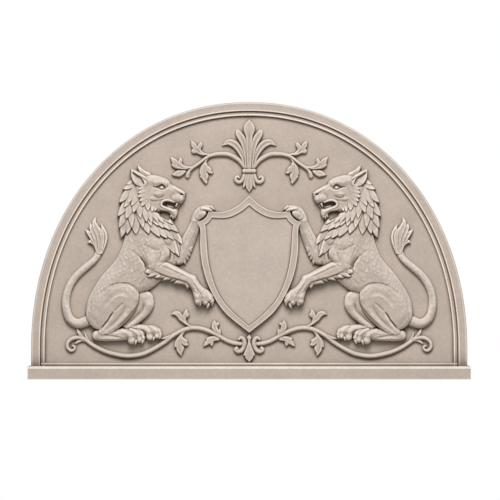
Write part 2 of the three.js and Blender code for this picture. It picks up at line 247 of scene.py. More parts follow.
class Relief:
    """Heights above the ground on a regular grid, built up form by form as a carver would."""

    def __init__(self, left, right, bottom, top, cell):
        self.cell = cell
        self.x = np.arange(left, right + cell / 2, cell)
        self.z = np.arange(bottom, top + cell / 2, cell)
        self.height = np.full((len(self.z), len(self.x)), BELOW)
        # share of the painted highlight on crests that this relief keeps
        self.painted_highlight = 1.0

    def window(self, line, margin):
        """The part of the grid round a line."""
        low = line[:, :2].min(0) - margin
        high = line[:, :2].max(0) + margin
        i0, i1 = np.searchsorted(self.x, (low[0], high[0]))
        j0, j1 = np.searchsorted(self.z, (low[1], high[1]))
        x, z = np.meshgrid(self.x[i0:i1], self.z[j0:j1])
        return (slice(j0, j1), slice(i0, i1)), x, z

    def near(self, line, margin):
        """Round a line: distance in half widths, side, share along it, and the line's further columns."""
        here, x, z = self.window(line, line[:, 2].max() + margin)
        best = np.full(x.shape, 1e9)
        side = np.zeros(x.shape)
        share = np.zeros(x.shape)
        values = np.zeros(x.shape + (line.shape[1] - 2,))
        for k, (a, b) in enumerate(zip(line[:-1], line[1:])):
            along, dx, dz = beside(a, b, x, z)
            width = np.maximum(a[2] + along * (b[2] - a[2]), 0.3)
            distance = np.hypot(dx, dz) / width
            closer = distance < best
            best = np.where(closer, distance, best)
            side = np.where(closer, np.sign((b[0] - a[0]) * dz - (b[1] - a[1]) * dx), side)
            share = np.where(closer, (k + along) / (len(line) - 1), share)
            mixed = a[2:] + along[..., None] * (b[2:] - a[2:])
            values = np.where(closer[..., None], mixed, values)
        return here, best, side, share, values

    def join(self, here, form, blend=0.0):
        """Adds a form to what is there, with a soft valley where blend is given."""
        ground = self.height[here]
        top = np.maximum(ground, form)
        if blend > 0:
            close = np.maximum(blend - np.abs(ground - form), 0)
            solid = (ground > BELOW + 1) & (form > BELOW + 1)
            top = top + np.where(solid, close ** 2 / (4 * blend), 0)
        self.height[here] = top

    def lower(self, here, depth):
        """Cuts into what is there, but no deeper than just below the ground."""
        ground = self.height[here]
        self.height[here] = np.where(ground > 0, np.maximum(ground - depth, DEEPEST_CUT), ground)

    def swell(self, nodes, edge=0.0, power=2.0, blend=0.0, groove=0.0, reach=7.0):
        """A rounded form along nodes of x, z, half width and crest; edge is the height of its rim."""
        here, q, _, _, values = self.near(smooth_line(nodes), reach * 2)
        width = values[..., 0]
        crest = values[..., 1]
        inside = np.clip(1 - np.minimum(q, 1) ** power, 0, 1) ** (1 / power)
        beyond = np.maximum(q - 1, 0) * width
        form = np.where(q > 1, edge - beyond * WALL - 0.5, edge + (crest - edge) * inside)
        if groove:
            self.lower(here, groove * np.exp(-(beyond / reach) ** 2) * (q > 1))
        self.join(here, np.maximum(form, BELOW), blend)

    def crease(self, nodes, depth):
        """A soft furrow along nodes of x, z and half width that fades at both ends.
        It is a ridge where depth is negative."""
        line = smooth_line(nodes)
        here, q, _, share, _ = self.near(line, line[:, 2].max() * 1.5)
        fade = np.clip(np.minimum(share, 1 - share) * 5 + 0.15, 0, 1)
        self.lower(here, depth * np.exp(-(q * 1.3) ** 2) * fade)

    def mound(self, x, z, half_length, half_height, rise, turn=0.0):
        """A soft bump, or a dent where rise is negative."""
        here, gx, gz = self.window(np.array([[x, z]]), max(half_length, half_height) * 2.2)
        cosine = math.cos(math.radians(turn))
        sine = math.sin(math.radians(turn))
        u = ((gx - x) * cosine + (gz - z) * sine) / half_length
        v = ((gz - z) * cosine - (gx - x) * sine) / half_height
        self.lower(here, -rise * np.exp(-(u * u + v * v) * 1.1))

    def plate(self, outline, crest, edge, rounding, blend=0.0, groove=0.0):
        """A form with a closed outline that rises from its rim to a flat crest over a rounding."""
        points = np.asarray(outline, dtype=float)
        here, x, z = self.window(points, 9.0)
        depth = within(points, x, z)
        share = np.clip(depth / rounding, 0, 1)
        form = edge + (crest - edge) * (1 - (1 - share) ** 2.2) ** (1 / 2.2)
        form = np.where(depth < 0, edge - 0.5 + depth * WALL, form)
        if groove:
            self.lower(here, groove * np.exp(-(depth / 2.5) ** 2) * (depth < 0))
        self.join(here, np.maximum(form, BELOW), blend)

    def pit(self, outline, floor, slope=6.0):
        """Sinks everything inside a closed outline to a floor, with sloping walls round it."""
        points = np.asarray(outline, dtype=float)
        here, x, z = self.window(points, 12.0)
        wall = floor + np.maximum(-within(points, x, z), 0) * slope
        self.height[here] = np.minimum(self.height[here], np.maximum(wall, BELOW))

    def lock(self, root, tip, width, base, rise, bend=0.0, veins=1, groove=2.0, tilt=0.0):
        """A pointed lock of hair that rises from base to stand proud at its tip.
        The base is a height or a whole surface."""
        (rx, rz), (tx, tz) = root, tip
        nodes = []
        for t, share in LOCK_OUTLINE:
            bow = 4 * bend * t * (1 - t)
            x = rx + (tx - rx) * t - (tz - rz) * bow
            z = rz + (tz - rz) * t + (tx - rx) * bow
            nodes.append((x, z, width / 2 * share))
        here, q, side, share, values = self.near(smooth_line(nodes, 3.0), 12.0)
        half = values[..., 0]
        ground = base[here] if isinstance(base, np.ndarray) else base
        inner = np.minimum(q, 1)
        lift = 0.15 + 0.85 * np.clip(share * 1.15, 0, 1) ** 0.8
        across = 1 - 0.15 * inner ** 2 - 0.45 * np.clip((inner - 0.72) / 0.28, 0, 1) ** 2
        if veins:
            across = across + 0.07 * np.cos(inner * np.pi * (2 * veins + 1)) * np.clip(half * 2 / width, 0, 1)
        beyond = np.maximum(q - 1, 0) * half
        # the lower side stands proud of the next lock, like a shingle
        lean = (rx - tx) / math.hypot(tx - rx, tz - rz) * side * inner
        form = ground + rise * lift * across + tilt * lean
        form = np.where(q > 1, form - 0.8 - beyond * WALL, form)
        late = np.clip((share - 0.25) * 2.5, 0, 1)
        self.lower(here, groove * np.exp(-(beyond / 2.5) ** 2) * (q > 1) * late)
        self.join(here, np.where(beyond > 5, BELOW, form))

    def blade(self, nodes, edge=10.0, rib=0.0, dish=0.08, groove=2.0):
        """A leaf lobe along nodes of x, z, half width and crest.
        It is dished between raised edges, with a rib, or a groove where rib is negative."""
        here, q, _, share, values = self.near(smooth_line(nodes, 2.5), 9.0)
        half = values[..., 0]
        crest = values[..., 1]
        inner = np.minimum(q, 1)
        dip = dish * crest * np.clip(half / 7, 0, 1) * np.clip(1 - (inner / 0.76) ** 2, 0, 1)
        fall = (crest - edge) * np.clip((inner - 0.76) / 0.24, 0, 1) ** 2
        line = rib * np.exp(-(q * half / 1.8) ** 2) * np.clip((0.9 - share) * 6, 0, 1)
        beyond = np.maximum(q - 1, 0) * half
        form = np.where(q > 1, edge - 0.5 - beyond * WALL, crest - dip - fall + line)
        self.lower(here, groove * np.exp(-(beyond / 2.5) ** 2) * (q > 1))
        self.join(here, np.maximum(form, BELOW))

    def leaf(self, outline, veins, crest=21.0, edge=9.0, rounding=7.0):
        """A lobed leaf with a closed outline and rounded edges, and a furrow along each vein."""
        self.plate(smooth_line(outline + outline[:1], 2.5), crest, edge, rounding, groove=2.5)
        for vein in veins:
            self.crease([(x, z, 2.0) for x, z in vein], 3.0)

    def soften(self, share):
        """Takes the saw marks off: mixes in a light blur wherever there is carving."""
        carved = self.height > 3
        soft = blurred(self.height, 1)
        self.height = np.where(carved, share * soft + (1 - share) * self.height, self.height)

    def painted_shade_and_highlight(self):
        """Painted shade and highlight: from -1, a painted highlight on crests, to 1, painted shade in deep
        creases and under overhangs.
        """
        solid = np.maximum(self.height, 0.0)
        total = 0
        # painted shade in creases and painted highlight on crests, at three reaches
        for reach, weight in ((3.0, 0.45), (7.0, 0.16), (15.0, 0.07)):
            dip = (blurred(solid, reach / self.cell / 2) - solid) / (reach * 0.5)
            total = total + weight * np.clip(dip, -1, 1)
        # painted shadow just below higher forms, as if cast by a light from above
        for reach, weight in ((3.5, 0.42), (7.0, 0.14)):
            above = shifted_down(solid, reach / self.cell)
            dip = (blurred(above, reach / self.cell / 2) - solid) / reach
            total = total + weight * np.clip(dip, -0.25, 1)
        # the painted highlight is scaled by this relief's own share of it
        return np.clip(np.where(total < 0, total * self.painted_highlight, total), -1, 1)


# How wide a lock is along its length: share of the length, share of the half width
LOCK_OUTLINE = ((0, 0.62), (0.18, 0.88), (0.4, 1.0), (0.6, 0.9), (0.78, 0.6), (0.91, 0.29), (1, 0.03))


# The right-hand lion, from the back of the carving to the front. Here and in the foliage, r is the
# relief that is carved.

def carve_toe(r, root, knuckle, tip, half_width, crest):
    """A toe that rises out of the foot at its root, swells at the knuckle and ends in a round pad."""
    middle = [(a + b) / 2 for a, b in zip(knuckle, tip)]
    r.swell([(*root, half_width * 0.6, crest - 9), (*knuckle, half_width * 0.94, crest),
             (*middle, half_width * 0.9, crest - 3), (*tip, half_width, crest - 1)],
            edge=crest * 0.5, power=2.2, blend=2, groove=2.5, reach=2.5)


def carve_claw(r, root, tip, half_width, crest):
    """A small tapering point: a claw, a tooth or a tuft of beard."""
    middle = [a + 0.45 * (b - a) for a, b in zip(root, tip)]
    r.swell([(*root, half_width, crest), (*middle, half_width * 0.9, crest), (*tip, 0.8, crest - 6)],
            edge=crest * 0.7, groove=1.5, reach=2)


def carve_far_legs(r):
    """The far foreleg, with its paw on the shield, and the far hind leg."""
    # foreleg raised to the shield's ear
    r.swell([(276, 474, 16, 30), (262, 505, 26, 34), (248, 541, 29, 36), (232, 580, 26, 36),
             (220, 614, 21, 36), (212, 640, 18, 40)], edge=8)
    # its paw: wrist, back and toes over the shield's edge
    r.swell([(216, 638, 18, 40), (209, 656, 18, 43), (196, 672, 18, 46), (178, 682, 14, 46),
             (160, 685, 10, 43), (148, 682, 6, 38)], edge=14, blend=6)
    r.swell([(204, 650, 13, 46), (192, 660, 15, 51), (184, 665, 12, 50)], edge=38, groove=2.5, reach=3)
    r.swell([(188, 684, 8, 49), (173, 682, 8, 52), (159, 679, 7, 50), (150, 675, 4, 44)], edge=34, groove=3,
            reach=3)
    carve_claw(r, (153, 690), (136, 676), 5, 46)
    # its tendons
    r.crease([(216, 602, 6), (232, 567, 7), (251, 532, 8), (266, 500, 6)], -1.5)
    r.crease([(206, 612, 4), (222, 574, 5), (240, 536, 6), (254, 500, 5)], 1.2)
    r.crease([(226, 624, 5), (240, 592, 6), (256, 560, 6), (268, 524, 5)], 1.5)
    r.mound(224, 634, 14, 9, 3, -60)
    r.crease([(212, 664, 4), (200, 680, 4), (184, 691, 3)], 3)
    # fur at its elbow
    r.plate([(221.5, 535), (226, 521), (229, 508), (234, 508), (235, 490), (241, 491), (243, 475),
             (249, 478), (255.5, 455), (262, 463), (276, 458), (290, 456), (296, 474), (288, 510),
             (262, 530)], 33, 10, 16, blend=8)
    for x, z in ((237, 505), (244, 490), (251, 478), (262, 470), (276, 468)):
        r.crease([(x - 3, z - 8, 2), (x + 2, z + 4, 2.5), (x + 5, z + 16, 2)], 2)
    # hind leg
    r.swell([(425, 322, 30, 35), (440, 292, 30, 34), (462, 262, 24, 31), (484, 236, 16, 28),
             (498, 214, 11, 25)], edge=8, power=2.4)
    r.swell([(411, 322, 29, 38), (404, 298, 23, 42), (415, 268, 17, 41), (437, 246, 15, 40),
             (460, 226, 14, 39), (480, 212, 12, 38)], edge=10, blend=5, power=2.4)
    r.crease([(420, 308, 7), (428, 284, 6), (446, 262, 5), (468, 238, 5), (486, 218, 4)], 2)
    r.mound(403, 300, 16, 12, 2)
    # its foot: instep, three toes and their claws
    r.swell([(487, 206, 12, 36), (450, 205, 14, 40), (425, 202, 16, 42), (402, 197, 18, 43),
             (382, 195, 19, 43), (367, 186, 15, 40)], edge=12, blend=5)
    r.swell([(418, 190, 14, 38), (386, 180, 14, 36)], edge=20, blend=4)
    carve_toe(r, (376, 206), (361, 194), (357, 179), 8.5, 40)
    carve_toe(r, (394, 209), (374, 196), (369, 174), 12, 46)
    carve_toe(r, (427, 206), (403, 194), (397, 170), 15, 50)
    carve_claw(r, (355, 172), (360, 161), 4, 42)
    carve_claw(r, (380, 167), (385, 154), 4.5, 46)
    r.swell([(386, 192, 7, 42), (382, 178, 7, 37)], edge=30, blend=4)
    r.crease([(414, 176, 4), (413, 164, 5), (412, 154, 5)], 5)


def carve_tail(r):
    """The tail and its tuft."""
    r.swell([(640, 236, 21, 36), (660, 228, 21, 38), (682, 222, 19.5, 38), (704, 229, 18, 37),
             (722, 248, 17.5, 36), (732, 280, 16.8, 35), (734.5, 312, 16.2, 34), (727, 352, 16, 33),
             (710, 389, 15.8, 32), (685, 420, 15.5, 31), (656, 446, 15, 30), (630, 468, 14, 30),
             (611, 489, 13.5, 29), (601, 512, 14, 28)], edge=6, power=2.2)
    # tuft: a fan of flame-shaped strands
    for nodes in (
            [(607, 508, 6, 25), (615, 536, 8, 27), (629, 550, 8, 28), (640, 550, 5, 26), (645, 544, 1.5, 21)],
            [(604, 508, 8, 27), (615, 546, 10, 29), (630, 571, 11, 30), (644, 587, 7, 27), (656, 598, 1, 20)],
            [(594, 508, 9, 27), (580, 546, 10, 28), (577, 574, 10, 29), (583, 598, 7, 26), (594, 621, 1, 20)],
            [(602, 508, 9, 28), (608, 548, 11, 30), (619, 580, 12, 31), (631, 604, 9, 29), (636, 623, 2, 24)],
            [(598, 508, 10, 29), (595, 548, 12, 31), (601, 580, 13, 32), (613, 607, 12, 31),
             (620, 628, 8, 28), (614, 648, 1, 20)],
            [(595, 510, 7, 29), (587, 550, 8, 31), (589, 582, 8, 31), (600, 608, 1.5, 24)]):
        r.blade(nodes, edge=15, dish=0.07, rib=-1.0, groove=1.5)


def carve_trunk(r):
    """The body from the breast to the rump."""
    r.swell([(395, 575, 100, 44), (404, 505, 108, 50), (455, 432, 92, 50), (547, 373, 59, 54),
             (585, 307, 61, 61), (592, 273, 62, 58)], edge=12, power=2.4)
    # breast, shoulder and upper arm
    r.swell([(312, 560, 38, 36), (304, 500, 24, 34), (306, 470, 20, 32)], edge=8, blend=10)
    r.swell([(400, 560, 62, 54), (376, 508, 62, 60), (372, 470, 46, 63), (380, 442, 33, 63)], edge=22,
            blend=16)
    r.mound(345, 508, 20, 26, 3)
    r.mound(352, 548, 26, 14, 2)
    # flank and belly
    r.mound(480, 480, 40, 30, 3, 40)
    r.mound(545, 400, 30, 60, 2.5, 40)
    r.crease([(436, 490, 4), (424, 473, 4.5), (416, 458, 4.5), (413, 438, 4)], 11)
    r.crease([(470, 520, 5), (452, 503, 5), (433, 486, 4)], 3)
    r.crease([(322, 552, 4), (319, 528, 4.5), (315, 500, 4.5), (317, 482, 4), (324, 472, 4)], 7)
    r.crease([(300, 520, 4), (298, 498, 4), (302, 476, 4)], 3)
    r.crease([(414, 404, 4), (426, 388, 5), (440, 374, 4)], 2.5)
    r.crease([(424, 428, 5), (440, 406, 6), (456, 386, 5)], 2)
    for k in range(5):
        x = 452 + 20 * k
        z = 470 - 22 * k
        r.crease([(x - 4, z + 10, 6), (x + 12, z - 18, 7), (x + 2, z - 52, 6)], 1.2)


def carve_near_hind_leg(r):
    """The near haunch, shin and foot."""
    # haunch and thigh
    r.swell([(490, 335, 49, 64), (512, 323, 61, 67), (556, 292, 74, 64), (585, 262, 66, 60)],
            edge=36, blend=8, power=2.2)
    r.crease([(445, 334, 3), (450, 357, 3.5), (461, 371, 3.5), (473, 379, 3.5), (487, 384, 3.5),
              (506, 385, 3.5), (524, 384, 3.5), (541, 379, 3.5), (556, 373, 4), (572, 363, 4)], 4)
    r.crease([(572, 363, 6), (584, 355, 7), (596, 344, 6)], 2)
    # foot, with the heel
    r.swell([(608, 175, 20, 45), (580, 172, 20, 48), (545, 175, 22, 51), (510, 178, 23, 54),
             (478, 180, 22, 55), (452, 180, 17, 52)], edge=18, power=2.4, groove=3, reach=4)
    # calf, and the shin from the knee to the heel
    r.swell([(500, 306, 16, 60), (517, 280, 21, 61), (544, 241, 20, 59), (570, 209, 16, 56),
             (590, 190, 13, 52)], edge=38, blend=9)
    r.swell([(464, 320, 24, 60), (474, 288, 24, 63), (494, 257, 21, 63), (518, 230, 18, 62),
             (544, 206, 16, 60), (566, 191, 14, 57), (582, 184, 11, 54)], edge=32, blend=9)
    r.crease([(490, 306, 5), (501, 276, 5), (516, 254, 5), (536, 233, 5), (560, 213, 5), (584, 188, 4)], 1.5)
    r.crease([(541, 270, 3), (553, 255, 4), (563, 238, 4), (576, 221, 4), (592, 202, 4)], 12)
    r.crease([(499, 308, 5), (515, 296, 5), (530, 282, 5), (541, 271, 4)], 4)
    r.crease([(443, 302, 4), (459, 276, 5), (481, 250, 5), (503, 228, 5), (526, 209, 4)], 6)
    # muscles of the thigh, which runs out into the flank and rump behind
    r.crease([(456, 350, 9), (470, 366, 9), (492, 374, 9), (530, 368, 10), (560, 356, 12)], -2.5)
    r.crease([(480, 332, 7), (496, 347, 9), (524, 346, 10), (553, 328, 11), (574, 304, 11), (586, 284, 9)],
             3.5)
    r.crease([(492, 330, 9), (518, 335, 9), (541, 324, 10), (558, 306, 10), (577, 278, 9)], -2.5)
    r.crease([(622, 330, 8), (632, 300, 8), (630, 270, 8)], 1.5)
    r.crease([(596, 214, 7), (616, 232, 8), (630, 258, 8)], 2)
    # toes and claws
    carve_toe(r, (446, 198), (430, 186), (424, 166), 9, 53)
    carve_toe(r, (474, 198), (445, 184), (438, 160), 14, 58)
    carve_toe(r, (508, 192), (477, 179), (469, 157), 17, 62)
    r.swell([(458, 180, 7, 53), (453, 164, 7, 48)], edge=42, blend=4)
    carve_claw(r, (424, 156), (430, 141), 5, 52)
    carve_claw(r, (451, 155), (456, 138), 5, 56)
    # sole and instep
    r.crease([(512, 167, 3), (532, 171, 4), (556, 175, 4), (586, 179, 4)], 4)
    r.crease([(503, 160, 4), (545, 162, 5), (604, 164, 5)], -2)
    r.crease([(492, 188, 5), (520, 187, 5), (550, 184, 5)], -2)
    r.crease([(535, 205, 4), (552, 196, 4), (566, 186, 4)], 3)


# Outlines of the near foreleg: a doubled point is a sharp corner
FRINGE = (
    (240, 386), (237, 372), (246, 361), (252, 368), (258, 377), (281, 382), (302, 384), (296, 392),
    (318, 391), (311, 398), (330, 396), (349, 395), (343, 403), (360, 403), (379, 405), (372, 413),
    (384, 430), (340, 432), (290, 412), (255, 400),
)
ELBOW_TUFTS = (
    (350, 410), (362, 404), (379, 405), (373, 413), (390, 408), (408, 408), (399, 419), (417, 426),
    (409, 440), (390, 448), (356, 430),
)
FOREARM = (
    (331, 472), (331, 472), (299, 454), (267, 438), (236, 422), (214, 413), (206, 398), (196, 382),
    (181, 366), (163, 354), (151, 340), (144, 324), (148, 312), (166, 303), (190, 302), (212, 310),
    (217, 324), (218, 337), (226, 352), (236, 367), (252, 382), (278, 391), (312, 400), (347, 412),
    (379, 426), (400, 438), (408, 450), (402, 464), (380, 472), (352, 473), (331, 472), (331, 472),
)


def carve_near_foreleg(r):
    """The near forearm with its fringe, and the paw that rests against the shield."""
    # saw-toothed fringe below the forearm, its points towards the elbow
    r.plate(FRINGE, 57, 28, 9, groove=2)
    r.plate(ELBOW_TUFTS, 63, 46, 8, groove=3)
    for x, z in ((298, 392), (312, 398), (344, 403), (373, 413), (399, 421), (252, 372)):
        r.crease([(x + 3, z - 3, 2), (x - 5, z + 3, 2.5), (x - 17, z + 8, 2)], 3)
    # forearm and paw
    r.plate(smooth_line(FOREARM, 3.0), 66, 26, 15, blend=3, groove=2)
    # muscles and tendons
    r.crease([(357, 457, 3.5), (322, 442, 4), (283, 425, 4), (240, 406, 3.5)], 2.6)
    r.crease([(388, 434, 3.5), (347, 418, 4), (300, 403, 4), (250, 389, 3.5)], 3)
    r.crease([(352, 470, 7), (318, 455, 7), (276, 434, 7), (236, 414, 6)], -1.5)
    r.crease([(226, 402, 5), (208, 374, 5), (196, 348, 5)], -2)
    r.crease([(222, 386, 3.5), (204, 358, 4), (189, 334, 4)], 2.4)
    r.crease([(200, 380, 3.5), (180, 358, 4), (163, 338, 4)], 2.4)
    # toes and claws
    carve_toe(r, (176, 348), (158, 333), (152, 314), 12, 61)
    carve_toe(r, (197, 350), (180, 333), (174, 310), 14, 69)
    carve_toe(r, (216, 352), (206, 333), (202, 314), 16.5, 70)
    carve_claw(r, (193, 308), (198, 292), 5, 60)
    carve_claw(r, (162, 301), (169, 282), 5.5, 58)
    carve_claw(r, (146, 308), (150, 293), 4.5, 50)


def carve_near_upper_arm(r):
    """The near shoulder and upper arm."""
    # the shoulder, the lobe of the breast beside it, and the muscle down to the elbow
    r.mound(378, 548, 46, 26, 5, -20)
    r.swell([(334, 522, 15, 54), (338, 502, 20, 60), (348, 482, 18, 63)], edge=40, blend=10)
    r.swell([(418, 528, 16, 50), (408, 514, 23, 58), (394, 494, 27, 67), (388, 472, 24, 70),
             (388, 454, 18, 69)], edge=46, blend=9)
    # creases between them, and the end of the forearm
    r.crease([(350, 528, 4), (366, 517, 5), (392, 525, 6), (424, 542, 5)], 3)
    r.crease([(352, 512, 4), (354, 492, 4.5), (364, 474, 4)], 3)
    r.crease([(428, 524, 5), (415, 502, 6), (408, 478, 5)], 2)
    r.crease([(325, 471, 3), (341, 465, 3.5), (352, 459, 3.5), (362, 449, 3)], 3.5)
    r.crease([(388, 470, 4), (394, 456, 4.5), (390, 444, 4)], 2)


# Locks of the mane: root, tip, width, bend
MANE_BREAST = (
    ((346, 574), (313, 519), 18, 0.06), ((332, 580), (296, 502), 22, 0.06),
    ((316, 586), (278, 491), 26, 0.06),
)
MANE_OUTER = (
    ((330, 556), (298, 508), 20, -0.06), ((316, 566), (281, 497), 32, -0.06),
    ((318, 592), (268, 539), 26, -0.08), ((344, 594), (299, 556), 22, -0.06),
    ((372, 606), (328, 563), 26, -0.06), ((404, 624), (357, 569), 30, -0.06),
    ((436, 646), (400, 581), 32, -0.06), ((482, 650), (488, 580), 27, -0.04),
    ((498, 640), (514, 565), 26, -0.05), ((456, 664), (452, 578), 36, 0.0),
    ((500, 668), (521, 606), 26, -0.07), ((490, 714), (527, 652), 28, -0.07),
    ((480, 762), (521, 707), 27, -0.07), ((462, 800), (492, 779), 15, -0.05),
    ((456, 786), (506, 761), 21, -0.06),
)
MANE_MIDDLE = (
    ((342, 628), (284, 588), 24, -0.06), ((368, 640), (314, 595), 24, -0.06),
    ((396, 660), (342, 603), 26, -0.06), ((410, 672), (364, 612), 26, -0.06),
    ((428, 684), (390, 610), 28, -0.06), ((446, 690), (424, 604), 30, -0.04),
    ((474, 700), (468, 604), 27, 0.0), ((476, 716), (493, 640), 30, -0.06),
    ((470, 742), (500, 686), 22, -0.05), ((454, 772), (488, 704), 30, -0.07),
)
MANE_UPPER = (
    ((346, 648), (303, 618), 15, -0.06), ((360, 656), (323, 633), 14, -0.06),
    ((382, 664), (340, 624), 19, -0.06), ((396, 676), (362, 624), 21, -0.06),
    ((414, 690), (388, 624), 24, -0.05), ((430, 702), (409, 627), 26, -0.05),
    ((442, 720), (434, 642), 27, 0.0), ((450, 734), (463, 664), 27, -0.04),
    ((442, 756), (472, 692), 25, -0.05),
)
RUFF = (
    ((412, 778), (442, 759), 15, -0.08), ((409, 766), (445, 744), 18, -0.08),
    ((408, 753), (446, 728), 19, -0.08), ((408, 741), (438, 711), 20, -0.06),
    ((410, 729), (430, 691), 22, -0.04), ((404, 722), (404, 673), 24, 0.0),
    ((384, 700), (388, 668), 15, 0.0), ((371, 690), (377, 671), 10, 0.0),
)


def carve_mane(r):
    """The mane: a domed bed with rows of locks, the lowest row first."""
    x, z = np.meshgrid(r.x, r.z)
    distance = np.hypot((x - 415) / 125, (z - 665) / 150)
    dome = 20 + 25 * np.sqrt(np.clip(1 - distance ** 2, 0, 1))
    chest = 56 * np.exp(-(((x - 372) / 85) ** 4 + ((z - 585) / 65) ** 4))
    base = np.maximum(dome, chest)
    r.swell([(440, 745, 48, 40), (432, 700, 60, 44), (430, 655, 66, 46), (408, 616, 78, 48)], blend=4)
    for root, tip, width, bend in MANE_BREAST:
        r.lock(root, tip, width, 35.0, 13, bend=bend, veins=2, groove=3, tilt=2)
    for rank, row in enumerate((MANE_OUTER, MANE_MIDDLE, MANE_UPPER)):
        for root, tip, width, bend in row:
            tilt = 3.5 if tip[0] > root[0] else 3.0
            r.lock(root, tip, width, base + rank * 4.5, 14, bend=bend, veins=2, groove=2.4, tilt=tilt)


# Outlines of the head: a doubled point is a sharp corner
HEAD = (
    (254, 747), (254, 747), (268, 756), (283, 765), (298, 773), (311, 778), (315, 783), (317, 790),
    (324, 797), (337, 804), (354, 810), (374, 815), (390, 816), (420, 811), (446, 790), (456, 760),
    (450, 730), (436, 705), (418, 686), (398, 674), (374, 667), (352, 671), (335, 671), (322, 667),
    (314, 656), (305, 651), (295, 650), (288, 656), (286, 668), (288, 682), (279, 694), (277, 701),
    (270, 704), (262, 713), (258, 725), (255, 736), (254, 747), (254, 747),
)
MOUTH = (
    (270, 692), (277, 702), (298, 701), (310, 707.5), (323, 709.5), (338, 706), (345, 699.5), (343, 694),
    (334, 692.5), (323, 692), (313, 688), (302, 683), (290, 682),
)
THROAT = (
    (316, 644), (319, 657), (326, 666), (341, 672), (354, 671), (358, 663), (351, 653), (335, 643),
    (324, 639),
)
SOCKET = (
    (332, 763), (337, 773), (345, 778), (354, 777), (361, 772), (372, 768.5), (382, 769), (373, 763),
    (360, 758), (348, 756), (338, 758),
)
FAR_EAR = (
    (386, 808), (390, 816), (398, 827), (414, 833), (427, 842), (446, 860), (448, 846), (442, 831),
    (434, 818), (412, 802),
)


def carve_head(r):
    """The head with its open mouth and the far ear."""
    r.plate(FAR_EAR, 36, 14, 8)
    r.crease([(412, 818, 3), (427, 831, 4), (441, 847, 2.5)], 4)
    # head and jaw in one outline, then the brow, the cheek and the muzzle
    r.plate(smooth_line(HEAD, 3.0), 60, 30, 24, groove=2)
    r.mound(385, 742, 44, 44, 3)
    r.mound(352, 790, 34, 12, 7.5)
    r.crease([(334, 798, 3), (335, 788, 3.5), (339, 778, 3)], 3.5)
    r.mound(392, 800, 30, 14, 4)
    r.mound(373, 783, 13, 8, 3.5)
    r.mound(331, 785, 9, 8, 3)
    r.swell([(296, 725, 18, 68), (287, 725, 20, 70), (278, 723, 16, 66)], edge=44, blend=3, groove=2, reach=3)
    r.swell([(300, 764, 8, 60), (284, 755, 8, 62), (272, 749, 8, 63), (263, 743, 6.5, 60)], edge=46, blend=6)
    # open mouth, and the gap at the throat with the thin jaw above it
    r.pit(MOUTH, 20)
    r.plate(THROAT, 16, 12, 4)
    r.pit(THROAT, 16, 6)
    r.swell([(300, 664, 12, 56), (314, 674, 8, 57), (334, 679, 7, 58), (352, 682, 8, 58)], edge=42, blend=3)
    r.swell([(306, 688, 3.5, 36), (326, 694, 3, 36)], blend=2)
    # lips, teeth and beard
    r.swell([(300, 708, 3, 62), (313, 713, 4, 66), (327, 716, 4.5, 68), (339, 714, 4.5, 68),
             (349, 706, 4.5, 68), (351, 697, 4.5, 66), (344, 689, 4.5, 64), (327, 682.5, 4.5, 62),
             (312, 675, 4.5, 61), (297, 671, 4, 59)], edge=52, blend=2)
    r.crease([(340, 722, 3), (356, 712, 3.5), (359, 697, 3.5), (352, 684, 3)], 2.5)
    carve_claw(r, (288, 702), (294, 688), 4, 56)
    carve_claw(r, (296, 657), (297, 643), 5, 50)
    carve_claw(r, (303, 655), (306, 640), 5, 50)
    carve_claw(r, (309, 658), (315, 646), 4.5, 50)


def carve_face(r):
    """Nose, eye and cheek."""
    # nostril and the front of the nose
    r.crease([(263, 736, 3), (270, 739, 4.5), (277, 741, 2.5)], 16)
    r.crease([(254, 732, 3), (258, 729, 3), (264, 728, 3)], 6)
    r.crease([(300, 742, 3), (311, 734, 3.5), (312, 722, 3)], 2)
    # eye socket under the overhanging brow, eyeball and lower lid
    r.crease([(321, 773, 2.5), (328, 769, 3.5), (336, 764, 3)], 6)
    r.pit(SOCKET, 50)
    r.swell([(347.5, 765, 5.8, 66), (350, 765.5, 5.8, 66)], edge=52)
    r.swell([(336, 757, 2.5, 60), (348, 754, 3, 64), (362, 758, 3, 65), (377, 765.5, 2, 65)], edge=54,
            blend=1)
    # bag below the eye and folds of the cheek
    r.mound(361, 742, 21, 12, 7.5)
    r.crease([(337, 738, 3), (347, 729, 3.5), (359, 725, 3.5), (373, 729, 3.5), (384, 741, 3)], 3.2)
    r.mound(384, 722, 16, 9, 4.5)
    r.crease([(344, 719, 3), (360, 714, 3.5), (382, 711, 3.5), (398, 720, 3)], 3)
    r.crease([(392, 764, 4), (402, 748, 4), (404, 730, 4)], 2)


def carve_near_ear(r):
    """The near ear, and the ruff of short locks round the cheek."""
    r.swell([(420, 783, 14, 66), (437, 794, 23, 70), (451, 808, 19, 70), (463, 824, 9, 66),
             (471, 838, 2, 60)], edge=46, groove=3, reach=4, power=2.8)
    # bowl of the ear, deepest under its folded upper edge
    bowl = smooth_line([(424, 781, 7), (439, 791, 17), (453, 804, 14), (464, 822, 5)])
    here, q, side, _, _ = r.near(bowl, 6)
    tilt = (1 + side * np.minimum(q, 1)) / 2
    r.lower(here, 20 * np.clip(1 - q ** 5, 0, 1) * (0.2 + 0.8 * tilt ** 1.3))
    r.swell([(409, 800, 4, 66), (424, 810, 6, 72), (441, 819, 6.5, 74), (457, 829, 5, 71),
             (470, 838, 1.5, 62)], edge=54, blend=1)
    for root, tip, width, bend in RUFF:
        r.lock(root, tip, width, 56.0, 13, bend=bend, veins=1, groove=3, tilt=1)


# Patches of fur: middle x and z, half length, half height, share of the full depth
FLANK_FUR = (
    (450, 540, 60, 50, 0.8), (470, 455, 80, 70, 1.0), (560, 400, 60, 60, 0.8), (420, 400, 60, 40, 0.7),
)
SHOULDER_FUR = ((385, 530, 60, 42, 0.7),)
RUMP_FUR = ((612, 280, 36, 60, 0.5),)


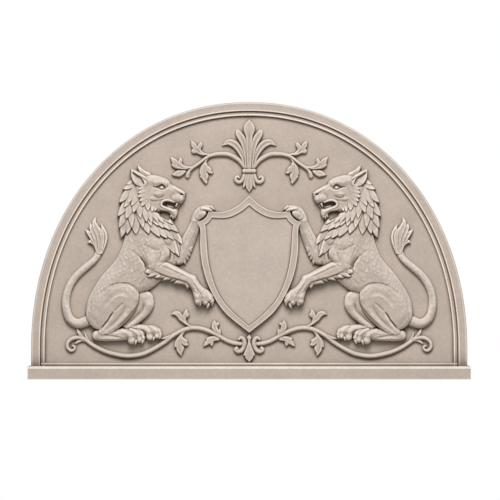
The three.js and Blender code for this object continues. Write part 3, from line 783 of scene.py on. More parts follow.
def carve_fur(r, seed, patches):
    """Overlapping scallops of fur that lie down the body, over some patches of it."""
    wide = 22.0
    pitch = 13.0
    depth = 3.4
    grain = np.random.default_rng(seed)
    x, z = np.meshgrid(r.x, r.z)
    drift = [blurred(grain.standard_normal(x.shape), 22 / r.cell) for _ in range(2)]
    u = (x * 0.94 + z * 0.34) + 8 * drift[0] / drift[0].std()
    v = (x * 0.34 - z * 0.94) + 5 * drift[1] / drift[1].std()
    share = grain.uniform(0.3, 1.0, (64, 64))
    scallops = np.zeros(x.shape)
    for back in (0, 1):
        row = np.floor(v / pitch) - back
        along = u / wide + 0.5 * (row % 2)
        across = 2 * (along - np.floor(along)) - 1
        down = v / pitch - row
        reach = 1 + 0.8 * (1 - across ** 2) * back
        strength = share[row.astype(int) % 64, np.floor(along).astype(int) % 64]
        scallops = np.where(down < reach, strength * (down / 1.8) ** 1.5, scallops)
    amount = np.zeros(x.shape)
    for cx, cz, half_length, half_height, most in patches:
        bell = np.exp(-(((x - cx) / half_length) ** 4 + ((z - cz) / half_height) ** 4))
        amount = np.maximum(amount, most * bell)
    r.height = np.where(r.height > 15, r.height + depth * amount * (scallops - 0.3), r.height)


def weather(r, seed):
    """The soft unevenness of worn, hand-finished stone."""
    grain = np.random.default_rng(seed)
    for size, amount in ((34, 0.6), (16, 0.45), (8, 0.28)):
        swell = blurred(grain.standard_normal(r.height.shape), size / r.cell / 2.2)
        swell = swell / swell.std()
        r.height = np.where(r.height > 15, r.height + swell * amount, r.height)


@functools.lru_cache
def lion_relief(cell):
    """The right-hand lion."""
    r = Relief(130, 760, 132, 870, cell)
    carve_far_legs(r)
    carve_tail(r)
    carve_trunk(r)
    carve_fur(r, 11, FLANK_FUR)
    carve_near_hind_leg(r)
    carve_near_foreleg(r)
    carve_near_upper_arm(r)
    carve_fur(r, 12, SHOULDER_FUR)
    carve_fur(r, 13, RUMP_FUR)
    carve_mane(r)
    carve_head(r)
    carve_face(r)
    carve_near_ear(r)
    weather(r, 4)
    r.soften(0.35)
    return r


# Leaves above and below the shield, right half: the outline, where a doubled point is a sharp corner, and the
# lines of the veins
CREST_LEAVES = (
    # sprig on top of the arm
    ([(169, 904), (182, 906), (191, 914), (193, 922), (188, 930), (186, 939), (190, 948), (197, 947),
      (204, 939), (208, 933), (208, 933), (212, 940), (220, 949), (235, 957), (235, 957), (234, 944),
      (232, 931), (227, 922), (227, 922), (232, 914), (230, 907), (224, 902), (214, 903), (205, 901),
      (195, 896), (182, 894), (169, 898)],
     [[(190, 901), (210, 921), (227, 944)], [(193, 902), (207, 915), (221, 919)],
      [(191, 906), (199, 922), (194, 940)]]),
    # sprig at the arm's end
    ([(233, 852), (248, 852), (262, 857), (269, 864), (267, 874), (270, 885), (276, 887), (281, 880),
      (285, 872), (285, 872), (292, 880), (301, 885), (317, 891), (317, 891), (314, 878), (309, 863),
      (309, 863), (311, 855), (306, 849), (296, 843), (284, 840), (269, 839), (252, 838), (237, 842)],
     [[(246, 844), (268, 847), (291, 864), (310, 883)], [(262, 844), (284, 852), (306, 863)],
      [(256, 850), (272, 862), (276, 880)]]),
    ([(250, 833), (262, 836), (273, 835), (282, 836), (292, 833), (301, 825), (311, 818), (311, 818),
      (301, 812), (290, 810), (281, 808), (269, 813), (259, 822)],
     [[(253, 831), (275, 825), (299, 818)], [(266, 832), (282, 830), (292, 828)]]),
    # leaf that droops below the arm
    ([(167, 863), (177, 871), (186, 861), (194, 850), (199, 833), (199, 821), (196, 814), (198, 809),
      (198, 809), (192, 802), (184, 791), (177, 783), (170, 779), (170, 779), (167, 787), (167, 797),
      (162, 808), (163, 819), (167, 826), (167, 826), (159, 822), (152, 821), (142, 825), (142, 825),
      (150, 832), (151, 840), (158, 850), (166, 855)],
     [[(179, 866), (181, 844), (178, 821), (171, 788)], [(168, 849), (159, 835), (149, 827)],
      [(174, 856), (174, 838), (168, 826)], [(186, 853), (193, 833), (193, 814)]]),
)
BASE_LEAVES = (
    # curled leaf nearest the shield, with its bud
    ([(113, 187), (114, 199), (119, 202), (123, 197), (126, 205), (126, 213), (120, 218), (119, 224),
      (124, 228), (131, 225), (131, 225), (134, 232), (140, 235), (147, 227), (151, 214), (150, 201),
      (143, 191), (134, 183), (122, 177), (114, 174)],
     [[(139, 229), (141, 212), (132, 192), (120, 178)], [(125, 223), (133, 212), (134, 200)],
      [(119, 199), (121, 188), (117, 178)]]),
    # leaf below it
    ([(118, 163), (124, 168), (137, 172), (152, 171), (165, 167), (175, 162), (175, 162), (171, 157),
      (178, 148), (184, 129), (184, 129), (170, 134), (159, 140), (159, 140), (154, 134), (148, 130),
      (143, 140), (142, 149), (132, 153), (121, 154)],
     [[(124, 162), (148, 160), (164, 152), (179, 136)], [(138, 159), (148, 150), (149, 136)],
      [(146, 166), (158, 165), (168, 161)]]),
    # pair of leaves above the runner
    ([(229, 213), (244, 221), (252, 233), (252, 244), (244, 249), (239, 259), (244, 265), (246, 275),
      (250, 282), (257, 275), (263, 265), (267, 255), (267, 255), (275, 267), (285, 272), (297, 272),
      (306, 267), (313, 256), (313, 256), (303, 257), (295, 253), (288, 246), (281, 236), (269, 227),
      (257, 219), (241, 211)],
     [[(267, 255), (259, 237), (243, 217)], [(305, 264), (286, 262), (270, 244), (252, 223)],
      [(250, 274), (257, 258), (256, 243)], [(243, 258), (252, 252), (255, 243)]]),
    # leaf below the runner
    ([(250, 196), (258, 194), (269, 181), (282, 171), (292, 158), (299, 143), (300, 124), (300, 124),
      (294, 127), (290, 112), (280, 99), (270, 89), (270, 89), (268, 102), (263, 112), (260, 125),
      (267, 136), (267, 136), (259, 132), (249, 132), (243, 138), (248, 145), (246, 151), (250, 159),
      (259, 163), (266, 171), (262, 181)],
     [[(266, 177), (278, 153), (281, 127), (272, 95)], [(268, 160), (260, 149), (249, 139)],
      [(270, 158), (272, 146), (268, 137)], [(281, 160), (290, 145), (295, 130)]]),
)


def carve_crest(r):
    """Right half of the spray above the shield."""
    for outline, veins in CREST_LEAVES:
        r.leaf(outline, veins)
    # stems
    r.swell([(152, 894, 4, 18), (166, 884, 4.5, 18), (175, 870, 4.5, 19), (178, 852, 2, 18)], edge=8)
    r.swell([(17, 846, 8, 20), (42, 876, 9, 22), (80, 898, 9.5, 22), (118, 901, 9, 22), (146, 897, 8, 22),
             (168, 888, 7, 22), (188, 873, 7, 22), (208, 858, 7, 22), (226, 846, 7, 22), (237, 835, 7, 21),
             (244, 822, 9, 21), (247, 812, 9.5, 19)], edge=6, groove=2.5, reach=3)
    r.crease([(150, 892, 1.5), (176, 877, 1.8), (200, 858, 1.8), (222, 844, 1.5)], 2)
    r.crease([(230, 836, 1.8), (238, 824, 2.2), (241, 810, 1.8)], 4)
    r.swell([(150, 896, 4, 21), (172, 899, 4, 20), (184, 904, 3, 20), (193, 914, 2, 21)], edge=10)
    r.swell([(222, 848, 5, 22), (244, 847, 4.5, 21), (262, 850, 3, 21), (276, 860, 2, 21)], edge=10)
    # curling petal and side leaf of the upright leaf
    r.blade([(15, 850, 6, 17), (22, 882, 9, 18), (36, 912, 12, 19), (52, 934, 14, 21), (68, 945, 14, 22),
             (84, 948, 10.5, 20), (97, 941, 5.5, 17), (109, 934, 1, 13)], rib=-3)
    r.blade([(10, 850, 6, 19), (14, 905, 8, 21), (22, 944, 12.5, 22), (29, 961, 14.5, 22),
             (39, 977, 13.5, 21), (45, 988, 9.5, 19), (50, 999, 1, 14)], rib=-3)
    # drop below the collar: leaflet and volute
    r.swell([(18, 826, 7, 16), (22, 808, 8, 18), (30, 793, 8, 19), (42, 788, 8.5, 20), (53, 795, 8, 20),
             (53, 807, 6.5, 20), (45, 811, 5.5, 20), (41, 805, 4.5, 21)], edge=6, groove=3, reach=3)
    r.blade([(8, 826, 5, 16), (12, 800, 6.5, 18), (18, 780, 6, 17), (25, 763, 1, 13)])


def carve_crest_middle(r):
    """The upright leaf, collar and drop on the centre line above the shield."""
    r.blade([(0, 845, 8, 21), (0, 900, 10, 22), (0, 944, 12, 23), (0, 964, 13, 23), (0, 977, 15.5, 23),
             (0, 988, 20, 23), (0, 997, 23, 23), (0, 1005, 23, 22), (0, 1013, 18.5, 20),
             (0, 1021, 12.5, 18), (0, 1030, 6, 16), (0, 1039, 0.8, 14)])
    r.crease([(0, 1020, 1.6), (0, 985, 2), (0, 960, 1.6)], 2)
    for x in (-3.5, 3.5):
        r.crease([(x * 0.2, 985, 1.6), (x * 0.7, 950, 1.8), (x, 905, 1.8), (x, 850, 1.6)], 3)
    r.blade([(0, 826, 5, 18), (0, 804, 7, 20), (0, 786, 11.5, 20), (0, 772, 14, 20), (0, 760, 8, 17),
             (0, 747, 1, 13)], rib=-2.5)
    r.swell([(-20, 833, 8.5, 25), (0, 833, 8.5, 27), (20, 833, 8.5, 25)], edge=10, power=3, groove=3, reach=3)


def carve_base(r):
    """Right half of the runner below the shield."""
    for outline, veins in BASE_LEAVES:
        r.leaf(outline, veins)
    r.swell([(244, 199, 4, 18), (262, 190, 4.5, 19), (277, 172, 4, 19), (286, 152, 2.5, 17)], edge=8)
    # spur of the runner beside the lion's foot
    r.blade([(300, 178, 5, 15), (320, 170, 5, 17), (338, 164, 4.5, 16), (353, 161, 1, 12)])
    # runner, its end volute and sprig
    r.blade([(640, 148, 5, 14), (668, 168, 6, 16), (682, 186, 6, 17), (690, 205, 1, 13)])
    r.blade([(640, 150, 4, 14), (652, 168, 4, 14), (660, 189, 1, 12)])
    r.swell([(650, 152, 6, 16), (670, 155, 6, 17), (684, 150, 6, 17), (694, 143, 4, 15)], edge=4)
    r.swell([(645, 150, 8, 18), (665, 162, 8.5, 20), (690, 166, 8.5, 20), (712, 160, 8.5, 20),
             (726, 145, 8, 20), (727, 126, 7.5, 20), (714, 114, 7, 20), (701, 118, 6, 20),
             (698, 128, 5, 20), (706, 133, 4.5, 21)], edge=4, groove=3, reach=3)
    r.swell([(26, 140, 8, 17), (55, 143, 9, 20), (80, 150, 9, 20), (105, 162, 9, 21), (150, 187, 9.5, 22),
             (200, 203, 9.5, 22), (245, 202, 9.5, 22), (295, 180, 9, 22), (340, 146, 9, 22),
             (400, 111, 9.5, 22), (440, 97, 9.5, 22), (490, 92, 9.5, 22), (540, 100, 9.5, 22),
             (580, 112, 9, 21), (620, 132, 9, 20), (648, 151, 8, 19)], edge=4, groove=1.5, reach=3)
    r.crease([(90, 150, 1.6), (130, 170, 2), (180, 193, 2), (230, 200, 1.6)], 2.5)
    r.crease([(262, 192, 1.6), (290, 176, 1.8), (316, 158, 1.8), (336, 145, 1.6)], 2)
    # scroll beside the middle spear
    r.swell([(41, 159, 5.5, 18), (33, 166, 7.5, 19), (23, 160, 9, 20), (18.5, 145, 9.5, 20),
             (22, 127, 9.5, 20), (31, 114, 9.5, 20), (45, 110, 9.5, 20), (54, 117, 8, 20), (51, 125, 6, 20),
             (46, 122, 4.5, 21)], edge=4, groove=3, reach=3)


def carve_base_middle(r):
    """The spear on the centre line below the shield."""
    half = [(0, 180), (4, 174), (10, 166), (5.5, 157), (4.5, 148), (7.5, 136), (13.5, 121), (19.5, 107.5),
            (23.5, 97), (21, 92), (16.5, 93), (17.5, 88), (12, 79), (0, 66)]
    r.plate(half + [(-x, z) for x, z in half[-2:0:-1]], 22, 12, 4, groove=3)
    r.crease([(0, 172, 1.6), (0, 130, 2), (0, 78, 1.6)], 2)
    for side in (-1, 1):
        r.crease([(side * 2, 134, 1.8), (side * 8, 116, 2), (side * 15, 98, 1.8)], 2)


# Sprays of foliage: half width, lowest and highest place, and what carves the side and the middle
SPRAYS = {
    "crest": (326, 736, 1048, carve_crest, carve_crest_middle),
    "base": (744, 58, 292, carve_base, carve_base_middle),
}


@functools.lru_cache
def foliage_relief(which, cell):
    """The spray of leaves above the shield or below it, both halves."""
    half_width, bottom, top, carve_side, carve_middle = SPRAYS[which]
    steps = round(half_width / cell)
    r = Relief(-steps * cell, steps * cell, bottom, top, cell)
    carve_side(r)
    r.height = np.maximum(r.height, r.height[:, ::-1])
    carve_middle(r)
    r.soften(0.4)
    # the foliage keeps less painted highlight on its crests
    r.painted_highlight = 0.65
    return r


# Meshes

# The stone of each material slot of the part
STONES = {"carved_stone": "cast_limestone_panel", "sill_stone": "cast_limestone_sill"}


def in_frame(x, depth, z):
    """A point of the frame from x, depth from the back and height above the sill's underside."""
    return (x * MM, -depth * MM, (z + UNDERSIDE) * MM)


def finish_piece(name, shape, node, slot, smooth=True):
    """Makes the finished shape an object of the frame."""
    bmesh.ops.recalc_face_normals(shape, faces=shape.faces)
    for face in shape.faces:
        face.smooth = smooth
    mesh = bpy.data.meshes.new(name)
    shape.to_mesh(mesh)
    shape.free()
    piece = bpy.data.objects.new(name, mesh)
    bpy.context.scene.collection.objects.link(piece)
    mesh.materials.append(bpy.data.materials[STONES[slot]])
    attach(piece, "root")
    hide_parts(node)
    return piece


def drawn_out(shape, edges, axis, place):
    """Extrudes edges to a place along an axis; gives the new vertices and the new open edges."""
    drawn = bmesh.ops.extrude_edge_only(shape, edges=edges)["geom"]
    ends = [part for part in drawn if isinstance(part, bmesh.types.BMVert)]
    for vertex in ends:
        vertex.co[axis] = place
    return ends, [part for part in drawn if isinstance(part, bmesh.types.BMEdge) and part.is_boundary]


def close_behind(shape, depth):
    """Draws the open rim of a shape back to a depth and closes it there; the back is left clean."""
    rim = [edge for edge in shape.edges if edge.is_boundary]
    ends, open_edges = drawn_out(shape, rim, 1, -depth * MM)
    layer = shape.verts.layers.float["painted_shade_highlight"]
    for vertex in ends:
        vertex[layer] = 0.0
    bmesh.ops.triangle_fill(shape, edges=open_edges, use_beauty=False, normal=(0, 1, 0))


def grid_shape(x, z, depth, painted_shade_highlight, keep):
    """A grid laid over x and z and pushed to its depths, without the cells that aren't kept."""
    shape = bmesh.new()
    bmesh.ops.create_grid(shape, x_segments=len(x) - 1, y_segments=len(z) - 1, size=1.0)
    layer = shape.verts.layers.float.new("painted_shade_highlight")
    gx, gz = np.meshgrid(x, z)
    for vertex, px, pz, pd, value in zip(shape.verts, gx.flat, gz.flat, depth.flat, painted_shade_highlight.flat):
        vertex.co = in_frame(px, pd, pz)
        vertex[layer] = value
    unwanted = [face for face, kept in zip(shape.faces, keep.flat) if not kept]
    bmesh.ops.delete(shape, geom=unwanted, context="FACES")
    return shape


def relief_piece(name, relief, ground_depth, mirrored=False):
    """A carved piece from its height field, closed behind inside the slab."""
    height = relief.height
    highest = np.maximum.reduce([height[:-1, :-1], height[1:, :-1], height[:-1, 1:], height[1:, 1:]])
    x = -relief.x if mirrored else relief.x
    shape = grid_shape(x, relief.z, ground_depth + height, relief.painted_shade_and_highlight(), highest > LEFT_OUT)
    close_behind(shape, ground_depth + SEAT)
    return finish_piece(name, shape, "arched_panel", "carved_stone")


def arch_point(angle, inset):
    """A point of the stilted arch, inset from its outer edge; angle 0 is the right springing."""
    power = 2 / ARCH_FULLNESS
    across = math.cos(angle)
    x = (ARCH_HALF_WIDTH - inset) * math.copysign(abs(across) ** power, across)
    z = SPRINGING + (ARCH_RISE - inset) * abs(math.sin(angle)) ** power
    return x, z


def arch_inset(x, z):
    """How far points lie inside the arch's outer edge, roughly; negative outside."""
    rise = np.maximum(z - SPRINGING, 0)
    along = np.abs(x / ARCH_HALF_WIDTH) ** ARCH_FULLNESS
    above = (rise / ARCH_RISE) ** ARCH_FULLNESS
    reach = (along + above) ** (1 / ARCH_FULLNESS)
    from_middle = np.hypot(x, rise)
    radial = from_middle / np.maximum(reach, 1e-6) - from_middle
    return np.where(z < SPRINGING, ARCH_HALF_WIDTH - np.abs(x), np.where(from_middle > 1, radial, ARCH_RISE))


def rim_profile(sizes):
    """Section of the arch's rim from its outer to its inner back corner: inset, depth, and painted shade
    where positive, painted highlight where negative.
    """
    band = sizes.band_width
    front = sizes.band_depth
    step = sizes.ground_depth + sizes.step_rise
    inner = band + sizes.step_width
    return [
        (0, 0, 0.2), (0, front - 5, 0.3), (1, front - 1.5, 0), (2.5, front, -0.35), (6, front, -0.35),
        (8, front - 0.8, 0), (band - 10, front - 0.8, 0), (band - 9, front - 0.3, -0.7),
        (band - 6, front - 0.3, -0.8), (band - 5, front - 3, 0.3), (band - 4, step + 3, 0.95),
        (band, step - 0.5, 0.95), (band + 1.5, step, 0.15),
        (inner - 8, step, 0.08), (inner - 6.5, step + 1.5, -0.7), (inner - 3.5, step + 2.5, -0.9),
        (inner - 1.5, step, -0.2), (inner - 0.5, step - 7, 0.7), (inner, step - 22, 1),
        (inner - RIM_LIP, step - 22, 0), (inner - RIM_LIP, 0, 0),
    ]


def ring_of_vertices(shape, layer, rows, place):
    """A closed loop of vertices and edges from profile rows."""
    ring = []
    for row in rows:
        vertex = shape.verts.new(place(row))
        vertex[layer] = row[2]
        ring.append(vertex)
    edges = [shape.edges.new((a, b)) for a, b in zip(ring, ring[1:] + ring[:1])]
    return ring, edges


def arch_rim(shape, layer, sizes):
    """The moulded rim: its section spun over the arch, and drawn down to the sill on both sides."""
    rows = rim_profile(sizes)
    ring, edges = ring_of_vertices(
        shape, layer, rows, lambda row: in_frame(ARCH_HALF_WIDTH - row[0], row[1], SPRINGING))
    centre = in_frame(0, 0, SPRINGING)
    spun = bmesh.ops.spin(
        shape, geom=ring + edges, cent=centre, axis=(0, -1, 0), angle=math.pi, steps=RIM_STEPS)
    last = [part for part in spun["geom_last"] if isinstance(part, bmesh.types.BMEdge)]
    for vertex in shape.verts:
        across = vertex.co.x / MM
        up = max(vertex.co.z / MM - UNDERSIDE - SPRINGING, 0.0)
        x, z = arch_point(math.atan2(up, across), ARCH_HALF_WIDTH - math.hypot(across, up))
        vertex.co.x = x * MM
        vertex.co.z = (z + UNDERSIDE) * MM
    for ends in (edges, last):
        _, feet = drawn_out(shape, ends, 2, (SILL_TOP + UNDERSIDE) * MM)
        bmesh.ops.contextual_create(shape, geom=feet)


def foot_step(shape, layer, sizes):
    """The step's level run along the sill, up to the same bright edge."""
    ground = sizes.ground_depth
    step = sizes.step_rise - 0.3
    side = ARCH_HALF_WIDTH - sizes.band_width
    # rows: inset, height, and painted shade where positive, painted highlight where negative
    rows = [(0, -10, 0), (0, step - 0.5, 0.8), (2, step, 0.5), (5.5, step, 0.3), (7, step + 1.5, -0.7),
            (11, step + 2.5, -0.9), (13, step, -0.2), (14, step - 7, 0.7), (14.5, -10, 1)]
    _, edges = ring_of_vertices(
        shape, layer, rows, lambda row: in_frame(-side, ground + row[1], SILL_TOP + row[0]))
    bmesh.ops.contextual_create(shape, geom=edges)
    _, far_end = drawn_out(shape, edges, 0, side * MM)
    bmesh.ops.contextual_create(shape, geom=far_end)


def sampled(relief, x, z):
    """A relief's heights at other grid points, zero outside it."""
    column = np.rint((x - relief.x[0]) / relief.cell).astype(int)
    row = np.rint((z - relief.z[0]) / relief.cell).astype(int)
    inside = (column >= 0) & (column < len(relief.x)) & (row >= 0) & (row < len(relief.z))
    found = relief.height[np.clip(row, 0, len(relief.z) - 1), np.clip(column, 0, len(relief.x) - 1)]
    return np.where(inside, np.maximum(found, 0), 0)


def painted_ground_shade(sizes, x, z):
    """Painted shade on the ground: close to the forms, a painted shadow below them, in enclosed hollows, and
    darker towards the bottom.
    """
    # the forms count by their heights, but the tall lions and the rim no more than this
    full = 16.0
    lion = lion_relief(sizes.lion_cell)
    forms = [np.minimum(sampled(lion, side * x, z), full) for side in (1, -1)]
    forms.append(20.0 * (within(shield_line(0.0), x, z) > 0))
    for which in SPRAYS:
        forms.append(1.6 * sampled(foliage_relief(which, sizes.leaf_cell), x, z))
    inner_edge = sizes.band_width + sizes.step_width + 1
    forms.append(np.where(arch_inset(x, z) < inner_edge, full, 0.0))
    relief = np.maximum.reduce(forms)
    cell = sizes.ground_cell
    # painted shade close round the forms and, below, over a wider reach
    close = np.clip(blurred(relief, 4 / cell) / full, 0, 1)
    # painted shadow below the forms, as if cast by a light from above
    sheltered = np.clip(blurred(shifted_down(relief, 6 / cell), 4 / cell) / full, 0, 1)
    wide = np.clip(blurred(relief, 12 / cell) / 40, 0, 1)
    # painted shade in enclosed hollows
    enclosed = np.clip((blurred(np.minimum(relief, full), 13 / cell) / full - 0.45) / 0.3, 0, 1)
    # darker towards the bottom, painted as light that falls off downwards
    low = np.clip(1 - z / 450, 0, 1)
    return 0.4 * close + 0.45 * sheltered + 0.3 * wide + 0.3 * enclosed + 0.1 * low


def ground_plate(sizes):
    """The ground between the forms, a little uneven, as thick as the slab."""
    cell = sizes.ground_cell
    inset = sizes.band_width + sizes.step_width - RIM_LIP
    steps = math.ceil(ARCH_HALF_WIDTH / cell)
    x = np.arange(-steps, steps + 1) * cell
    z = np.arange(SILL_TOP, ARCH_CROWN, cell)
    gx, gz = np.meshgrid(x, z)
    grain = np.random.default_rng(7)
    uneven = blurred(grain.standard_normal(gx.shape), 24 / cell)
    depth = sizes.ground_depth + 0.4 * uneven / uneven.std()
    middle_x = (gx[:-1, :-1] + gx[1:, 1:]) / 2
    middle_z = (gz[:-1, :-1] + gz[1:, 1:]) / 2
    # the ground's vertices carry its painted shade round and below the forms
    shape = grid_shape(x, z, depth, painted_ground_shade(sizes, gx, gz), arch_inset(middle_x, middle_z) > inset)
    # the trimmed edge is drawn out to the arch's own line, against the rim's inner wall
    foot = (SILL_TOP + UNDERSIDE) * MM + 1e-6
    for vertex in shape.verts:
        if vertex.is_boundary and vertex.co.z > foot:
            across = vertex.co.x / MM
            up = vertex.co.z / MM - UNDERSIDE - SPRINGING
            if up > 0:
                along = abs(across / (ARCH_HALF_WIDTH - inset)) ** (ARCH_FULLNESS / 2)
                above = (up / (ARCH_RISE - inset)) ** (ARCH_FULLNESS / 2)
                edge_x, edge_z = arch_point(math.atan2(above, math.copysign(along, across)), inset)
                vertex.co.x = edge_x * MM
                vertex.co.z = (edge_z + UNDERSIDE) * MM
            else:
                vertex.co.x = math.copysign(ARCH_HALF_WIDTH - inset, across) * MM
    close_behind(shape, 0.0)
    return finish_piece("ground_plate", shape, "arched_panel", "carved_stone")


# Shield outline, right half, from the top point to the foot: outer edge and inner edge of its border
SHIELD_OUTER = (
    ((0, 735), (40, 699), (80, 677), (120, 668), (162, 673.5)),
    ((162, 673.5), (167, 658), (177, 644), (191, 634.5), (210, 627)),
    ((210, 627), (202, 616), (197, 601), (195.5, 577), (197, 540), (194, 495), (187, 450), (174, 402),
     (155, 356), (128, 307), (97, 266), (65, 237), (32, 211), (0, 186)),
)
SHIELD_INNER = (
    ((0, 695), (30, 671), (70, 650), (105, 643.5), (149.5, 645.5)),
    ((149.5, 645.5), (153.5, 637.5), (159.5, 630), (167, 623), (176, 616.5)),
    ((176, 616.5), (173.5, 608), (172.5, 597), (171, 577), (168.5, 540), (165, 495), (158, 450), (146, 404),
     (129, 358), (105, 315), (78, 283), (52, 257), (27, 235.5), (0, 213)),
)
SHIELD_BORDER = 31.0


def shield_line(share):
    """The shield's outline, a share of the way from the border's outer edge to its inner edge."""
    runs = []
    for outer, inner in zip(SHIELD_OUTER, SHIELD_INNER):
        outer_run = np.asarray(outer, dtype=float)
        mixed = outer_run + share * (np.asarray(inner, dtype=float) - outer_run)
        runs.append(smooth_line(mixed, count=SHIELD_STEPS)[:-1])
    half = np.vstack(runs + [mixed[-1:]])
    return np.vstack([half, half[-2:0:-1] * (-1, 1)])


def shield_profile(rise):
    """Section of the shield's border from its outer edge inwards: inset, height, and painted shade where
    positive, painted highlight where negative.
    """
    return [
        (0, SEAT, 0.6), (0, 2, 0.6), (0.2, rise - 6, 0.1), (0.8, rise - 1.5, -0.2), (2, rise, -0.45),
        (4.2, rise, -0.45), (6, rise - 0.9, -0.1), (9, rise - 2.2, 0.1), (16, rise - 2.6, 0.08),
        (22.5, rise - 2.2, 0.08), (25.5, rise - 0.8, -0.25), (27.5, rise - 0.5, -0.45),
        (29.2, rise - 1.0, -0.35), (30.4, rise - 3.5, 0.0), (31, rise - 9, 0.8),
        (32.5, rise - 10.5, 0.8), (37, rise - 10.8, 0.2), (44, rise - 11, -0.09),
    ]


# Materials

def add_node(tree, kind, settings=None, links=None):
    """A node of a kind with settings for its properties or inputs, and links to its inputs."""
    node = tree.nodes.new(kind)
    for name, value in (settings or {}).items():
        if isinstance(name, str) and hasattr(node, name):
            setattr(node, name, value)
        else:
            node.inputs[name].default_value = value
    for name, socket in (links or {}).items():
        tree.links.new(socket, node.inputs[name])
    return node


def cast_stone(name, finish):
    """Cast limestone, rubbed smooth: matt and warm grey, with faint clouds of tone and a sandy grain.
    Painted shade darkens the creases and the places under overhangs, and a painted highlight makes the crests
    pale, which makes the carving read."""
    material = bpy.data.materials.new(name)
    material.use_nodes = True
    tree = material.node_tree
    tree.nodes.clear()
    place = add_node(tree, "ShaderNodeTexCoord").outputs["Object"]
    # per-vertex value: painted shade where positive, painted highlight where negative
    painted_shade_highlight = add_node(tree, "ShaderNodeAttribute", {"attribute_name": "painted_shade_highlight"}).outputs["Fac"]
    # painted shade: the crease colour is mixed in where the value is positive
    painted_shade_share = add_node(tree, "ShaderNodeMapRange", {"From Min": 0.1, "From Max": 0.95, "To Max": 0.9},
                            {"Value": painted_shade_highlight})
    # painted highlight: the crest colour is mixed in where the value is negative
    painted_highlight_share = add_node(tree, "ShaderNodeMapRange", {"From Min": -0.06, "From Max": -0.6, "To Max": 0.95},
                           {"Value": painted_shade_highlight})
    painted_highlight = add_node(tree, "ShaderNodeMix",
                      {"data_type": "RGBA", 6: (*finish.stone, 1), 7: (*finish.crest, 1)},
                      {0: painted_highlight_share.outputs[0]})
    # the painted shade goes over the stone with its painted highlight
    with_painted_shade = add_node(tree, "ShaderNodeMix", {"data_type": "RGBA", 7: (*finish.crease, 1)},
                     {0: painted_shade_share.outputs[0], 6: painted_highlight.outputs[2]})
    # clouds of about 90 mm, stains of about 14 mm, and grains of about 5 mm, drawn coarser than real sand
    tone = None
    for size, low, high in ((0.09, 0.95, 1.05), (0.014, 0.95, 1.05), (0.005, 0.94, 1.06)):
        noise = add_node(tree, "ShaderNodeTexNoise", {"Scale": 1 / size, "Detail": 2.0}, {"Vector": place})
        step = add_node(tree, "ShaderNodeMapRange",
                        {"From Min": 0.28, "From Max": 0.72, "To Min": low, "To Max": high},
                        {"Value": noise.outputs["Fac"]})
        if tone is None:
            tone = step.outputs[0]
        else:
            product = add_node(tree, "ShaderNodeMath", {"operation": "MULTIPLY"},
                               {0: tone, 1: step.outputs[0]})
            tone = product.outputs[0]
    colour = add_node(tree, "ShaderNodeMix", {"data_type": "RGBA", "blend_type": "MULTIPLY", 0: 1.0},
                      {6: with_painted_shade.outputs[2], 7: tone})
    bump = add_node(tree, "ShaderNodeBump", {"Strength": 0.4, "Distance": 0.0006},
                    {"Height": noise.outputs["Fac"]})
    surface = add_node(tree, "ShaderNodeBsdfPrincipled",
                       {"Roughness": 0.85, "IOR": 1.5, "Specular IOR Level": 0.25},
                       {"Base Color": colour.outputs[2], "Normal": bump.outputs[0]})
    add_node(tree, "ShaderNodeOutputMaterial", None, {"Surface": surface.outputs[0]})
    return material


# Operators

class TYMPANUM_OT_materials(bpy.types.Operator):
    """Make the stone of the panel and of the sill."""

    bl_idname = "tympanum.materials"
    bl_label = "Stone"

    def execute(self, context):
        finish = context.scene.tympanum_finish
        for name in STONES.values():
            cast_stone(name, finish)
        return {"FINISHED"}


class TYMPANUM_OT_slab(bpy.types.Operator):
    """Make the arched slab: its moulded rim and the ground of the relief."""

    bl_idname = "tympanum.slab"
    bl_label = "Arched slab"

    def execute(self, context):
        sizes = millimetres(context.scene.tympanum_sizes)
        ground_plate(sizes)
        shape = bmesh.new()
        layer = shape.verts.layers.float.new("painted_shade_highlight")
        arch_rim(shape, layer, sizes)
        foot_step(shape, layer, sizes)
        finish_piece("moulded_rim", shape, "arched_panel", "carved_stone")
        return {"FINISHED"}


class TYMPANUM_OT_shield(bpy.types.Operator):
    """Make the blank shield with its hollowed border."""

    bl_idname = "tympanum.shield"
    bl_label = "Shield"

    def execute(self, context):
        sizes = millimetres(context.scene.tympanum_sizes)
        shape = bmesh.new()
        layer = shape.verts.layers.float.new("painted_shade_highlight")
        loops = []
        # each ring of the border carries the painted shade and highlight of its row
        for inset, rise, painted_shade_highlight in shield_profile(sizes.shield_rise):
            rows = [(x, z, painted_shade_highlight) for x, z in shield_line(inset / SHIELD_BORDER)]
            _, edges = ring_of_vertices(
                shape, layer, rows, lambda row: in_frame(row[0], sizes.ground_depth + rise, row[1]))
            if loops:
                bmesh.ops.bridge_loops(shape, edges=loops[-1] + edges)
            loops.append(edges)
        bmesh.ops.contextual_create(shape, geom=loops[0])
        bmesh.ops.contextual_create(shape, geom=loops[-1])
        finish_piece("shield", shape, "arched_panel", "carved_stone")
        return {"FINISHED"}


class TYMPANUM_OT_lions(bpy.types.Operator):
    """Make the two lions, mirror images of each other."""

    bl_idname = "tympanum.lions"
    bl_label = "Lions"

    def execute(self, context):
        sizes = millimetres(context.scene.tympanum_sizes)
        relief = lion_relief(sizes.lion_cell)
        relief_piece("lion_right", relief, sizes.ground_depth)
        relief_piece("lion_left", relief, sizes.ground_depth, mirrored=True)
        return {"FINISHED"}


class TYMPANUM_OT_foliage(bpy.types.Operator):
    """Make the sprays of leaves above and below the shield."""

    bl_idname = "tympanum.foliage"
    bl_label = "Foliage"

    def execute(self, context):
        sizes = millimetres(context.scene.tympanum_sizes)
        for which in SPRAYS:
            relief_piece(which + "_foliage", foliage_relief(which, sizes.leaf_cell), sizes.ground_depth)
        return {"FINISHED"}


